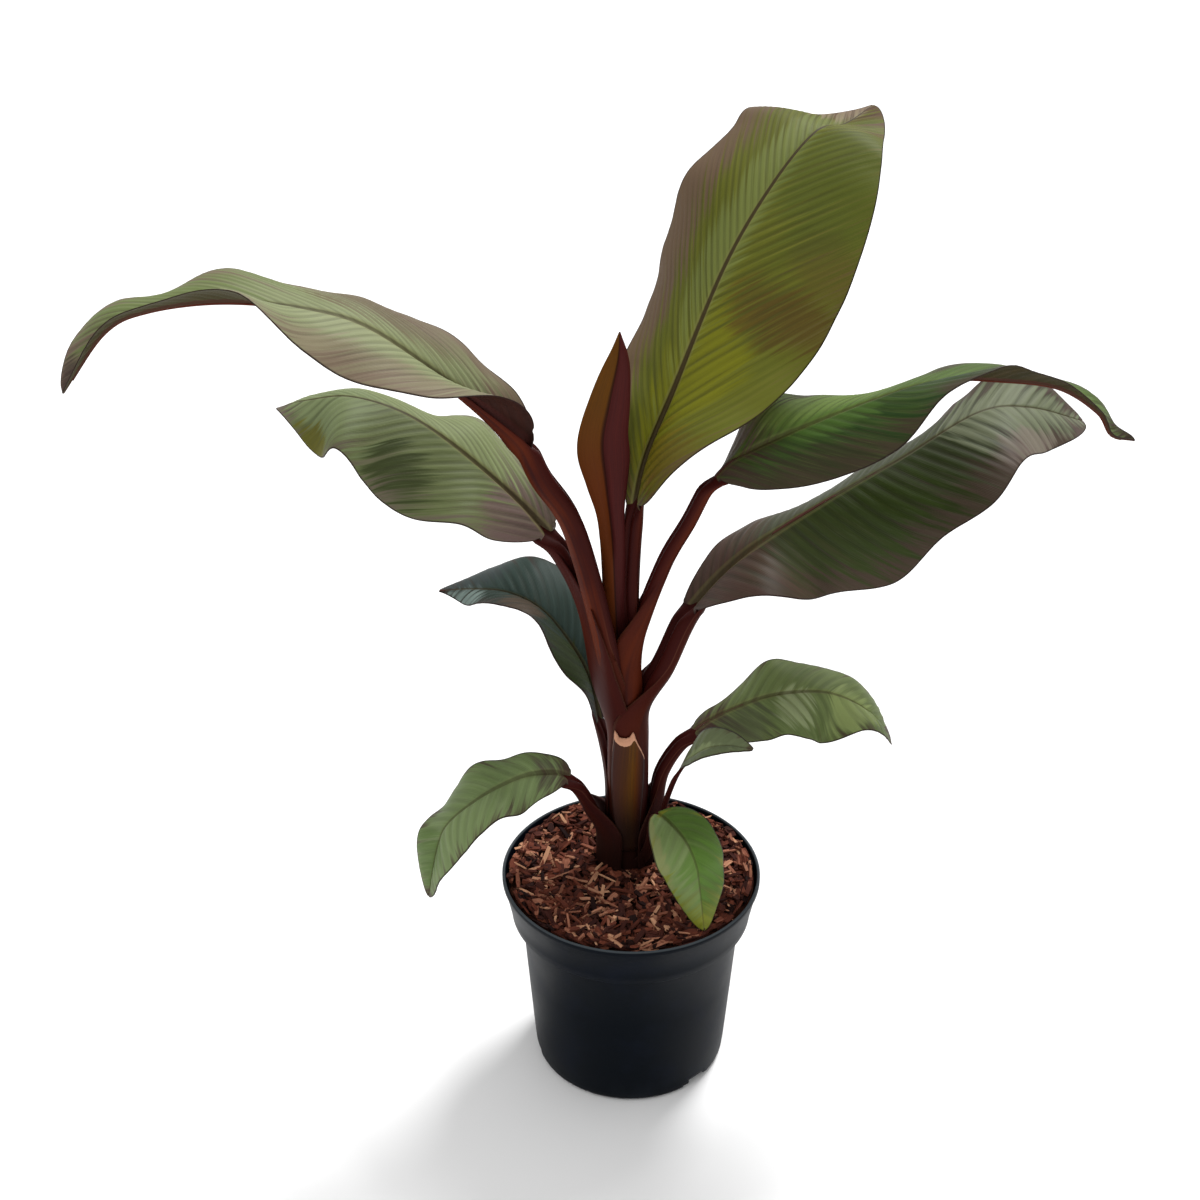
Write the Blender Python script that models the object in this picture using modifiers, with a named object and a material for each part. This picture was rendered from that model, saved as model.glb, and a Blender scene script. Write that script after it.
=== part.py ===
"""A potted red Abyssinian banana: pot, root ball, pseudostem, cut sheath, furled leaf and ten leaves.

Metres, +Z up. The origin is the middle of the pot's flat underside. Every leaf lies along its own upright
plane through the stem's foot: its heading is that plane's compass angle, with 0 at +X and 90 at +Y.
"""

import math

import bmesh
import bpy
from mathutils import Vector

OBJECT_NAME = "potted_banana"

# ---- pot ----
POT_HEIGHT = 0.180
RIM_RADIUS = 0.105
COLLAR_DEPTH = 0.039
COLLAR_FOOT_RADIUS = 0.097
BODY_TOP_RADIUS = 0.088
BASE_RADIUS = 0.0775
BASE_ROUNDING = 0.005
POT_WALL = 0.0025
POT_FLOOR = 0.010
DRAIN_NOTCHES = 3
FIRST_NOTCH_HEADING = -46
DRAIN_NOTCH_RADIUS = 0.006
DRAIN_NOTCH_DEPTH = 0.008
TURNED_STEPS = 48

# ---- root ball and stem foot ----
SOIL_LEVEL = 0.172
SOIL_EDGE_DROP = 0.002
SOIL_MOUND_RADIUS = 0.045
GAP = 0.0003
BLADE_GAP = 0.0007
STEM_FOOT = Vector((-0.005, 0.025, SOIL_LEVEL + GAP))
CORE_FOOT_RADIUS = 0.0185
CORE_TOP_RADIUS = 0.0155
CORE_HEIGHT = 0.120
BELOW_SOIL = 0.010

# ---- cut sheath, an arc of an old leaf base round the front of the stem ----
SHEATH_HEIGHTS = (0.022, 0.123)
SHEATH_RADII = (0.0200, 0.0222)
SHEATH_LEFT_HEADINGS = (232, 243)
SHEATH_RIGHT_HEADINGS = (283, 300)
SHEATH_RIGHT_BULGE = 35
SHEATH_HORN = 0.008
SHEATH_THICKNESS = 0.0024

# ---- leaves ----
LEAF_THICKNESS_SHARE = 0.0102
TIP_HALF_WIDTH = 0.0015
STALK_OUTER_DEPTH = 0.95
STALK_INNER_DEPTH = 0.65
STALK_SIDES = 12
STALK_RING_SPACING = 0.022
STALK_RINGS_LEAST = 4

# route: points along stalk and midrib as (reach, height) or (reach, aside, height) from the stem's foot,
#   aside counting to the right when looking outwards.
# blade_from: the route point where the blade begins. free_from: the height where the stalk leaves the stem.
# stalk: its half-width at the foot and where the blade begins.
# left, right: a blade half's greatest width, the share of the length where it has it, and how full its
#   base and tip are (a smaller number is fuller).
# left_fullness, right_fullness: the share by which that width is more or less, from the base to the tip.
# left_slopes, right_slopes: how far that half tilts up from level, in degrees, from the base to the tip.
LEAVES = {
    "tall_leaf": dict(
        heading=48, blade_from=3, free_from=0.285, stalk=(0.012, 0.0055), rows=16,
        route=((0.0, -0.01), (0.004, 0.14), (0.0055, 0.25), (0.018, 0.338), (0.051, 0.404), (0.106, 0.484),
               (0.161, 0.535), (0.213, 0.567), (0.252, 0.57), (0.287, 0.565)),
        left=(0.076, 0.68, 0.8, 0.52), right=(0.092, 0.45, 0.60, 0.7),
        left_fullness=(0, 0.15, 0.05, 0.10, 0.06, -0.03, -0.12, -0.10, 0),
        right_fullness=(0, 0.25, 0.08, 0, -0.01, -0.02, -0.01, -0.08, 0),
        left_slopes=(20, 45, 5, -15, -12, 0, 0, 0, -10),
        right_slopes=(35, 20, -12, -27, -28, -24, -15, -5, 5)),
    "left_upper_leaf": dict(
        heading=192, blade_from=5, free_from=0.225, stalk=(0.0115, 0.0112), rows=18, split=0.5,
        route=((0.0, -0.003, -0.01), (0.008, -0.004, 0.137), (0.014, -0.004, 0.203), (0.0385, -0.003, 0.311),
               (0.063, -0.001, 0.357), (0.079, 0.0, 0.388), (0.130, 0.0, 0.439), (0.182, 0.0, 0.484),
               (0.226, 0.0, 0.502), (0.28, 0.0, 0.508), (0.33, 0.0, 0.503), (0.359, 0.0, 0.490),
               (0.392, 0.0, 0.454)),
        left=(0.047, 0.4, 0.6, 0.8), right=(0.052, 0.4, 0.6, 0.7),
        left_fullness=(0, 0, 0, 0.03, 0.04, 0.05, 0, 0.05, 0),
        right_fullness=(0, 0, 0.10, 0.16, 0, 0.12, -0.04, 0.08, 0),
        left_slopes=(80, 34, -12, -38, -20, 31, 34, 33, 34), right_slopes=(60, 38, 15, 0, -5, 7, 0, 20, 36)),
    "left_lower_leaf": dict(
        heading=172, blade_from=4, free_from=0.215, stalk=(0.0100, 0.0098), rows=16,
        route=((0.004, 0.001, -0.01), (0.0115, 0.003, 0.111), (0.019, 0.006, 0.165), (0.032, 0.007, 0.240),
               (0.062, 0.006, 0.298), (0.113, 0.004, 0.352), (0.161, 0.002, 0.389), (0.205, 0.0, 0.403),
               (0.240, 0.0, 0.398), (0.264, 0.0, 0.390)),
        left=(0.070, 0.5, 0.7, 0.8), right=(0.055, 0.45, 0.6, 0.6),
        left_fullness=(0, 0, -0.02, 0, 0, 0, 0.06, 0.42, 0),
        right_fullness=(0, -0.08, 0, 0, -0.08, 0, 0, 0.03, 0),
        left_slopes=(-35, -25, -22, -38, -38, -35, -25, 5, 12),
        right_slopes=(50, 15, 5, 0, -18, -22, -18, -18, -18)),
    "back_leaf": dict(
        heading=150, blade_from=3, free_from=0.112, stalk=(0.008, 0.005), rows=12,
        route=((0.0, 0.004, -0.01), (0.006, 0.008, 0.030), (0.018, 0.010, 0.068), (0.030, 0.010, 0.123),
               (0.042, 0.010, 0.164), (0.064, 0.010, 0.193), (0.087, 0.010, 0.210), (0.117, 0.010, 0.215),
               (0.148, 0.010, 0.209), (0.182, 0.010, 0.198)),
        left=(0.035, 0.35, 1.3, 1.2), right=(0.048, 0.45, 0.6, 0.8),
        left_fullness=(0, -0.15, 0.10, 0, 0, 0.10, 0.03, 0.12, 0),
        right_fullness=(0, 0, 0, 0, 0, 0, 0.06, 0.22, 0),
        left_slopes=(0, 15, 8, 15, 25, 12, -10, -45, -52), right_slopes=(20, 20, 15, 10, 12, 22, 15, 5, 5)),
    "right_upper_leaf": dict(
        heading=5, blade_from=5, free_from=0.272, stalk=(0.011, 0.0078), rows=18, split=0.56,
        route=((0.0, -0.01), (-0.005, 0.117), (0.005, 0.204), (0.026, 0.273), (0.045, 0.311), (0.065, 0.350),
               (0.095, 0.371), (0.178, 0.406), (0.229, 0.42), (0.275, 0.418), (0.319, 0.41), (0.351, 0.389),
               (0.364, 0.37), (0.382, 0.365)),
        left=(0.047, 0.45, 0.6, 0.8), right=(0.055, 0.33, 0.6, 2.8),
        left_fullness=(0, -0.10, 0.12, 0.08, 0.08, 0.28, 0.25, 0.12, 0),
        right_fullness=(0, -0.04, -0.02, 0, -0.06, 0.12, -0.30, 0, 0),
        left_slopes=(-30, 25, 0, -25, -20, -8, -11, 12, 50),
        right_slopes=(-45, -45, -32, -22, 10, 40, 50, 50, 50)),
    "right_lower_leaf": dict(
        heading=20, blade_from=3, free_from=0.195, stalk=(0.0128, 0.0108), rows=16,
        route=((0.0, 0.002, -0.01), (0.0, 0.004, 0.117), (0.031, 0.004, 0.189), (0.055, 0.0, 0.23),
               (0.101, 0.0, 0.271), (0.166, 0.0, 0.304), (0.227, 0.0, 0.329), (0.293, 0.0, 0.358),
               (0.339, 0.0, 0.354), (0.389, 0.0, 0.329)),
        left=(0.060, 0.5, 0.95, 0.6), right=(0.080, 0.5, 0.65, 0.6),
        left_fullness=(0, -0.02, 0.12, 0.05, 0, -0.18, -0.10, 0.42, 0),
        right_fullness=(0, -0.02, 0.02, 0.03, -0.01, 0.03, -0.02, -0.10, 0),
        left_slopes=(20, 5, -22, -32, -30, -30, -15, 20, 22),
        right_slopes=(15, -5, -58, -50, -25, -18, -18, -32, -5)),
    "low_right_leaf": dict(
        heading=5, blade_from=4, free_from=0.060, stalk=(0.009, 0.007), rows=12,
        route=((0.0, -0.01), (0.010, 0.01), (0.022, 0.036), (0.029, 0.086), (0.055, 0.124), (0.096, 0.147),
               (0.131, 0.155), (0.166, 0.152), (0.197, 0.132), (0.217, 0.101)),
        left=(0.035, 0.5, 0.7, 0.6), right=(0.040, 0.5, 0.7, 0.7),
        left_fullness=(0, -0.20, 0.14, 0.05, 0, 0, 0.03, 0.10, 0),
        right_fullness=(0, 0.10, 0.04, -0.03, 0, 0.08, -0.05, -0.04, 0),
        left_slopes=(0, 0, 0, 20, 10, 0, 12, 10, 15),
        right_slopes=(-45, -50, -55, -30, -45, -60, -10, 5, 10)),
    "small_leaf": dict(
        heading=-32, blade_from=4, free_from=0.056, stalk=(0.0036, 0.0026), rows=8,
        route=((0.0206, -0.001, -0.01), (0.026, -0.002, 0.028), (0.0325, -0.002, 0.052),
               (0.0405, 0.0, 0.081), (0.0510, 0.0, 0.110), (0.0615, 0.0, 0.1235), (0.0750, 0.0, 0.1365),
               (0.0925, 0.0, 0.145), (0.1135, 0.0, 0.149)),
        left=(0.019, 0.33, 0.6, 0.9), right=(0.012, 0.35, 0.5, 0.8),
        left_slopes=(15, 30, 35, 25, 20), right_slopes=(-10, -15, -10)),
    "low_left_leaf": dict(
        heading=200, blade_from=3, free_from=0.050, stalk=(0.009, 0.007), rows=12, split=0.45,
        route=((0.010, -0.01), (0.019, 0.017), (0.034, 0.061), (0.051, 0.091), (0.070, 0.102),
               (0.092, 0.102), (0.122, 0.091), (0.148, 0.074), (0.158, 0.054), (0.168, 0.005)),
        left=(0.034, 0.5, 0.7, 0.7), right=(0.030, 0.5, 0.7, 0.7),
        left_fullness=(0, -0.02, -0.04, -0.05, 0, 0.03, 0, -0.10, 0),
        right_fullness=(0, 0, -0.02, 0.05, 0.14, 0.04, 0.08, 0.16, 0),
        left_slopes=(-40, -42, -52, -12, -10, -15, -8, 0, -5),
        right_slopes=(50, 55, 10, 18, -5, -10, 18, 20, 25)),
    "front_leaf": dict(
        heading=-60, blade_from=4, free_from=0.036, stalk=(0.006, 0.004), rows=10,
        route=((0.006, -0.006, -0.01), (0.020, -0.006, 0.012), (0.031, -0.006, 0.035), (0.037, -0.004, 0.055),
               (0.047, -0.002, 0.074), (0.087, 0.0, 0.078), (0.107, 0.0, 0.065), (0.114, 0.0, 0.045),
               (0.122, 0.0, 0.009)),
        left=(0.031, 0.5, 0.7, 0.7), right=(0.030, 0.5, 0.7, 0.7),
        left_slopes=(20, 25, 15, -5, -15, -18, -12, -10, -5),
        right_slopes=(0, -5, -10, -25, -38, -40, -45, -50, -55)),
}

# The furled leaf: half-widths are spread evenly along the route above free_from.
SPEAR = dict(
    heading=90, free_from=0.290, stalk=(0.010, 0.0095), depth=0.0055,
    route=((0.010, 0.0, -0.01), (0.010, -0.004, 0.149), (0.010, -0.008, 0.240), (0.010, -0.0115, 0.293),
           (0.010, -0.0175, 0.343), (0.010, -0.0192, 0.376), (0.010, -0.015, 0.408), (0.010, -0.0095, 0.440),
           (0.010, -0.008, 0.461)),
    half_widths=(0.0105, 0.0135, 0.0175, 0.0195, 0.017, 0.0125, 0.006, 0.0012))

# slot: sRGB colour, roughness
FINISHES = {
    "pot": ((0.10, 0.13, 0.17), 0.45),
    "mulch": ((0.40, 0.27, 0.22), 0.95),
    "stem": ((0.25, 0.11, 0.09), 0.5),
    "sheath": ((0.42, 0.25, 0.12), 0.6),
    "stalk": ((0.30, 0.13, 0.10), 0.45),
    "spear": ((0.33, 0.15, 0.12), 0.5),
    "leaf": ((0.33, 0.36, 0.20), 0.5),
}


# ---------------------------------------------------------------- scene helpers

def clear_scene():
    for obj in list(bpy.data.objects):
        bpy.data.objects.remove(obj, do_unlink=True)


def new_collection(name):
    collection = bpy.data.collections.new(name)
    bpy.context.scene.collection.children.link(collection)
    return collection


def to_linear(channel):
    """One sRGB channel as Blender's scene-linear value."""
    if channel <= 0.04045:
        return channel / 12.92
    return ((channel + 0.055) / 1.055) ** 2.4


def finish(name, slot):
    """The Principled material of one sub-part."""
    colour, roughness = FINISHES[slot]
    material = bpy.data.materials.new(name)
    material.use_nodes = True
    shader = material.node_tree.nodes["Principled BSDF"]
    shader.inputs["Base Color"].default_value = (*[to_linear(c) for c in colour], 1.0)
    shader.inputs["Roughness"].default_value = roughness
    return material


def mesh_object(bm, name, slot, collection, smooth=True):
    """Turns a bmesh into a named object with its own material."""
    mesh = bpy.data.meshes.new(name)
    bm.to_mesh(mesh)
    bm.free()
    if smooth:
        mesh.shade_smooth()
    if slot:
        mesh.materials.append(finish(name, slot))
    obj = bpy.data.objects.new(name, mesh)
    collection.objects.link(obj)
    return obj


def mark_cutter(obj):
    obj.hide_render = True
    obj.display_type = "WIRE"


def boolean(obj, operation, cutter=None, collection=None):
    modifier = obj.modifiers.new(operation.lower(), "BOOLEAN")
    modifier.operation = operation
    modifier.solver = "EXACT"
    if collection:
        modifier.operand_type = "COLLECTION"
        modifier.collection = collection
    else:
        modifier.object = cutter


# ---------------------------------------------------------------- pot and root ball

def pot_radius(height):
    """The pot's outer radius at a height."""
    collar_foot = POT_HEIGHT - COLLAR_DEPTH
    if height >= collar_foot:
        share = (height - collar_foot) / COLLAR_DEPTH
        return COLLAR_FOOT_RADIUS + share * (RIM_RADIUS - COLLAR_FOOT_RADIUS)
    return BASE_RADIUS + height / collar_foot * (BODY_TOP_RADIUS - BASE_RADIUS)


def turned(name, slot, outline, collection):
    """A solid turned about +Z from (radius, height) points that run down its outer side."""
    bm = bmesh.new()
    points = [bm.verts.new((radius, 0, height)) for radius, height in outline]
    for above, below in zip(points, points[1:]):
        bm.edges.new((above, below))
    obj = mesh_object(bm, name, slot, collection, smooth=False)
    screw = obj.modifiers.new("turn", "SCREW")
    screw.steps = TURNED_STEPS
    screw.render_steps = TURNED_STEPS
    screw.use_merge_vertices = True
    screw.merge_threshold = 0.00001
    screw.use_smooth_shade = True
    return obj


def make_pot(collection, cutters):
    collar_foot = POT_HEIGHT - COLLAR_DEPTH
    ledge = collar_foot + POT_WALL
    outline = [
        (0, POT_FLOOR),
        (pot_radius(POT_FLOOR) - POT_WALL, POT_FLOOR),
        (BODY_TOP_RADIUS - POT_WALL, ledge),
        (COLLAR_FOOT_RADIUS - POT_WALL, ledge),
        (RIM_RADIUS - POT_WALL, POT_HEIGHT),
        (RIM_RADIUS, POT_HEIGHT),
        (COLLAR_FOOT_RADIUS, collar_foot),
        (BODY_TOP_RADIUS, collar_foot),
        (pot_radius(BASE_ROUNDING), BASE_ROUNDING),
        (BASE_RADIUS - BASE_ROUNDING * 0.3, BASE_ROUNDING * 0.3),
        (BASE_RADIUS - BASE_ROUNDING, 0),
        (0, 0),
    ]
    pot = turned("pot", "pot", outline, collection)
    for index in range(DRAIN_NOTCHES):
        angle = math.radians(FIRST_NOTCH_HEADING) + 2 * math.pi * index / DRAIN_NOTCHES
        bm = bmesh.new()
        bmesh.ops.create_cone(bm, cap_ends=True, segments=16, radius1=DRAIN_NOTCH_RADIUS,
                              radius2=DRAIN_NOTCH_RADIUS, depth=4 * DRAIN_NOTCH_DEPTH)
        cutter = mesh_object(bm, f"drain_notch_{index + 1}", None, cutters)
        distance = BASE_RADIUS + DRAIN_NOTCH_DEPTH
        cutter.location = (distance * math.cos(angle), distance * math.sin(angle), 0)
        cutter.rotation_euler = (0, math.pi / 2, angle)
        mark_cutter(cutter)
        boolean(pot, "DIFFERENCE", cutter)


def make_root_ball(collection):
    ledge = POT_HEIGHT - COLLAR_DEPTH + POT_WALL + GAP
    foot = POT_FLOOR + GAP
    edge = SOIL_LEVEL - SOIL_EDGE_DROP
    inset = POT_WALL + 2 * GAP
    outline = [
        (0, SOIL_LEVEL),
        (SOIL_MOUND_RADIUS, SOIL_LEVEL),
        (pot_radius(edge) - inset, edge),
        (COLLAR_FOOT_RADIUS - inset, ledge),
        (BODY_TOP_RADIUS - inset, ledge),
        (pot_radius(foot) - inset, foot),
        (0, foot),
    ]
    turned("root_ball", "mulch", outline, collection)


# ---------------------------------------------------------------- routes, stalks and blades

def between(values, share):
    """Smooth value at a share (0 to 1) of a row of evenly spaced numbers or Vectors."""
    last = len(values) - 1
    place = min(max(share, 0.0), 1.0) * last
    index = min(int(place), last - 1)
    t = place - index
    start, end = values[index], values[index + 1]
    before = values[index - 1] if index else 2 * start - end
    after = values[index + 2] if index + 2 <= last else 2 * end - start
    return 0.5 * (2 * start + (end - before) * t + (2 * before - 5 * start + 4 * end - after) * t * t
                  + (3 * start - before - 3 * end + after) * t ** 3)


class Route:
    """The smooth line of a stalk and its midrib, measured along its length."""

    STEPS = 24

    def __init__(self, leaf):
        heading = math.radians(leaf["heading"])
        outwards = Vector((math.cos(heading), math.sin(heading), 0))
        self.aside = Vector((math.sin(heading), -math.cos(heading), 0))
        points = []
        for reach, *aside, height in leaf["route"]:
            sideways = self.aside * (aside[0] if aside else 0.0)
            points.append(STEM_FOOT + outwards * reach + sideways + Vector((0, 0, height)))
        spans = len(points) - 1
        self.points = [between(points, step / (spans * self.STEPS)) for step in range(spans * self.STEPS + 1)]
        self.lengths = [0.0]
        for start, end in zip(self.points, self.points[1:]):
            self.lengths.append(self.lengths[-1] + (end - start).length)
        self.length = self.lengths[-1]

    def at_point(self, index):
        """The length along the route of one of the leaf's own route points."""
        return self.lengths[index * self.STEPS]

    def at_height(self, height):
        """The length along the route where it first reaches a height above the soil."""
        for place, point in zip(self.lengths, self.points):
            if point.z - STEM_FOOT.z >= height:
                return place
        return self.length

    def centre(self, place):
        place = min(max(place, 0.0), self.length)
        index = 1
        while self.lengths[index] < place:
            index += 1
        start, end = self.lengths[index - 1], self.lengths[index]
        return self.points[index - 1].lerp(self.points[index], (place - start) / (end - start))

    def frame(self, place):
        """Centre, sideways and upper-face directions at a length along the route."""
        reach = 0.004
        along = (self.centre(place + reach) - self.centre(place - reach)).normalized()
        sideways = (self.aside - along * along.dot(self.aside)).normalized()
        return self.centre(place), sideways, sideways.cross(along)


def loft(route, start, end, half_width, depth_of, name, slot, collection):
    """A closed limb along a route; half_width and depth_of take the share of its length."""
    rings = max(STALK_RINGS_LEAST, round((end - start) / STALK_RING_SPACING))
    bm = bmesh.new()
    bmesh.ops.create_grid(bm, x_segments=STALK_SIDES, y_segments=rings, size=1)
    for vert in bm.verts:
        turn, share = math.pi * vert.co.x, (vert.co.y + 1) / 2
        centre, sideways, upper = route.frame(start + share * (end - start))
        inner, outer = depth_of(share)
        depth = inner if math.sin(turn) > 0 else outer
        vert.co = centre + sideways * half_width(share) * math.cos(turn) + upper * depth * math.sin(turn)
    bmesh.ops.remove_doubles(bm, verts=bm.verts, dist=0.00001)
    ends = [edge for edge in bm.edges if edge.is_boundary]
    bmesh.ops.holes_fill(bm, edges=ends, sides=0)
    bmesh.ops.recalc_face_normals(bm, faces=bm.faces)
    return mesh_object(bm, name, slot, collection)


def stalk_section(leaf, route, start, end):
    """Half-width and depths of a stalk between two lengths, tapering from the foot to the blade."""
    foot_width, blade_width = leaf["stalk"]
    blade_start = route.at_point(leaf["blade_from"])

    def half_width(share):
        place = start + share * (end - start)
        return foot_width + (blade_width - foot_width) * min(place / blade_start, 1.0)

    def depths(share):
        return half_width(share) * STALK_INNER_DEPTH, half_width(share) * STALK_OUTER_DEPTH

    return half_width, depths


def half_blade_width(leaf, side, share):
    """Width of the blade's left (-1) or right (+1) half at a share of its length."""
    widest, place, base, tip = leaf["left"] if side < 0 else leaf["right"]
    rise = math.sin(math.pi / 2 * min(share / place, 1.0)) ** base
    fall = max(math.cos(math.pi / 2 * max((share - place) / (1 - place), 0.0)), 0.0) ** tip
    edge = leaf["stalk"][1] * (1 - share) + TIP_HALF_WIDTH * share
    fullness = leaf.get("left_fullness" if side < 0 else "right_fullness")
    more = between(fullness, share) if fullness else 0.0
    return edge + (widest - edge) * rise * fall * (1 + more)


def blade_point(leaf, route, across, share):
    """A point of the blade: across runs from the left margin (-1) over the midrib (0) to the right (1)."""
    start = route.at_point(leaf["blade_from"]) + BLADE_GAP
    centre, sideways, upper = route.frame(start + share * (route.length - start))
    side = -1 if across < 0 else 1
    slopes = leaf["left_slopes"] if side < 0 else leaf["right_slopes"]
    slope = math.radians(between(slopes, share))
    width = abs(across) * half_blade_width(leaf, side, share)
    return centre + sideways * side * width * math.cos(slope) + upper * width * math.sin(slope)


def make_blade(leaf, route, name, collection, first=0.0, last=1.0):
    columns = 8 if leaf["rows"] > 12 else 6
    rows = round(leaf["rows"] * (last - first))
    bm = bmesh.new()
    bmesh.ops.create_grid(bm, x_segments=columns, y_segments=rows, size=1)
    for vert in bm.verts:
        share = first + (last - first) * (vert.co.y + 1) / 2
        vert.co = blade_point(leaf, route, vert.co.x, share)
    blade = mesh_object(bm, name, "leaf", collection)
    solidify = blade.modifiers.new("thickness", "SOLIDIFY")
    solidify.thickness = LEAF_THICKNESS_SHARE * (route.length - route.at_point(leaf["blade_from"]))
    solidify.offset = 0
    solidify.use_even_offset = True


def make_leaf(name, leaf, collection, stem_lofts):
    """One leaf: its foot for the stem's union, its free stalk, and its blade in one or two nodes."""
    route = Route(leaf)
    leaves_stem = route.at_height(leaf["free_from"])
    blade_start = route.at_point(leaf["blade_from"])
    foot_end = leaves_stem - GAP
    foot = loft(route, 0, foot_end, *stalk_section(leaf, route, 0, foot_end), f"{name}_foot", None,
                stem_lofts)
    mark_cutter(foot)
    loft(route, leaves_stem, blade_start, *stalk_section(leaf, route, leaves_stem, blade_start),
         f"{name}_stalk", "stalk", collection)
    split = leaf.get("split")
    if split:
        gap = GAP / (route.length - blade_start)
        make_blade(leaf, route, f"{name}_inner_blade", collection, last=split - gap)
        make_blade(leaf, route, f"{name}_outer_blade", collection, first=split + gap)
    else:
        make_blade(leaf, route, f"{name}_blade", collection)


# ---------------------------------------------------------------- spear, stem and cut sheath

def make_spear(collection, stem_lofts):
    route = Route(SPEAR)
    leaves_stem = route.at_height(SPEAR["free_from"])
    foot_width, top_width = SPEAR["stalk"]

    def foot_half_width(share):
        return foot_width + (top_width - foot_width) * share

    def foot_depths(share):
        return foot_half_width(share) * STALK_INNER_DEPTH, foot_half_width(share) * STALK_OUTER_DEPTH

    def half_width(share):
        return between(SPEAR["half_widths"], share)

    def depths(share):
        depth = min(SPEAR["depth"], half_width(share) * STALK_OUTER_DEPTH)
        return depth, depth

    foot = loft(route, 0, leaves_stem - GAP, foot_half_width, foot_depths, "spear_foot", None, stem_lofts)
    mark_cutter(foot)
    loft(route, leaves_stem, route.length, half_width, depths, "spear", "spear", collection)


def make_pseudostem(collection, stem_lofts, cutters):
    """The stem's core with the feet of all the leaves joined on, cut flat at the soil."""
    bm = bmesh.new()
    bmesh.ops.create_cone(bm, cap_ends=True, segments=24, radius1=CORE_FOOT_RADIUS, radius2=CORE_TOP_RADIUS,
                          depth=CORE_HEIGHT)
    stem = mesh_object(bm, "pseudostem", "stem", collection)
    stem.location = STEM_FOOT + Vector((0, 0, CORE_HEIGHT / 2 - BELOW_SOIL / 2))
    boolean(stem, "UNION", collection=stem_lofts)
    bm = bmesh.new()
    bmesh.ops.create_cube(bm, size=0.2)
    ground = mesh_object(bm, "soil_cut", None, cutters)
    ground.location = STEM_FOOT - Vector((0, 0, 0.1))
    mark_cutter(ground)
    boolean(stem, "DIFFERENCE", ground)


def make_cut_sheath(collection):
    """The torn base of a cut leaf, wrapped round the front of the stem and standing off at its top."""
    bm = bmesh.new()
    bmesh.ops.create_grid(bm, x_segments=10, y_segments=6, size=1)
    for vert in bm.verts:
        across, up = (vert.co.x + 1) / 2, (vert.co.y + 1) / 2
        left = SHEATH_LEFT_HEADINGS[0] + (SHEATH_LEFT_HEADINGS[1] - SHEATH_LEFT_HEADINGS[0]) * up
        right = SHEATH_RIGHT_HEADINGS[0] + (SHEATH_RIGHT_HEADINGS[1] - SHEATH_RIGHT_HEADINGS[0]) * up
        right += SHEATH_RIGHT_BULGE * math.sin(math.pi * up)
        heading = math.radians(left + (right - left) * across)
        radius = SHEATH_RADII[0] + (SHEATH_RADII[1] - SHEATH_RADII[0]) * up
        horn = SHEATH_HORN * up * abs(math.cos(1.5 * math.pi * across))
        height = SHEATH_HEIGHTS[0] + (SHEATH_HEIGHTS[1] - SHEATH_HEIGHTS[0]) * up + horn
        vert.co = STEM_FOOT + Vector((radius * math.cos(heading), radius * math.sin(heading), height))
    sheath = mesh_object(bm, "cut_sheath", "sheath", collection)
    solidify = sheath.modifiers.new("thickness", "SOLIDIFY")
    solidify.thickness = SHEATH_THICKNESS
    solidify.offset = 0
    solidify.use_even_offset = True


def main():
    clear_scene()
    parts = new_collection(OBJECT_NAME)
    cutters = new_collection("cutters")
    stem_lofts = new_collection("stem_lofts")
    make_pot(parts, cutters)
    make_root_ball(parts)
    make_spear(parts, stem_lofts)
    for name, leaf in LEAVES.items():
        make_leaf(name, leaf, parts, stem_lofts)
    make_pseudostem(parts, stem_lofts, cutters)
    make_cut_sheath(parts)


main()
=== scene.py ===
"""A potted red Abyssinian banana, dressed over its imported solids. Metres, +Z up, centred under the pot."""

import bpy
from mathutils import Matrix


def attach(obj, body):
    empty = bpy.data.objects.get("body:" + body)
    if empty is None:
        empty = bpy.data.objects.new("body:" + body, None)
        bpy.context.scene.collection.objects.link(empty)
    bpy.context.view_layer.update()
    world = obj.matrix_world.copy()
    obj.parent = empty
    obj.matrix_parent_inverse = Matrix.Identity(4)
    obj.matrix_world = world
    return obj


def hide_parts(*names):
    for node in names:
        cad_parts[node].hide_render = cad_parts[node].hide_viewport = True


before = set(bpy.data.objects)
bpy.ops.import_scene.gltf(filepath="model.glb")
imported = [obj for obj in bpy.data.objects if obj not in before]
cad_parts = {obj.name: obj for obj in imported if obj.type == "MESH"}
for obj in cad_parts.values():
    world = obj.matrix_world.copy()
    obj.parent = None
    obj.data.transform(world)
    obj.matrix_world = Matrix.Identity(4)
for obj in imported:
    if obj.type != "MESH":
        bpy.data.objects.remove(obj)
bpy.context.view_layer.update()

import math
import random

import bmesh
import bpy
from mathutils import Matrix, Vector, noise

bl_info = {
    "name": "Potted Red Abyssinian Banana",
    "version": (1, 0, 0),
    "blender": (4, 5, 0),
    "location": "3D View > Sidebar > Banana",
    "description": "Builds the pot, mulch, stem and leaves of a young red Abyssinian banana",
    "category": "Object",
}

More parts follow.
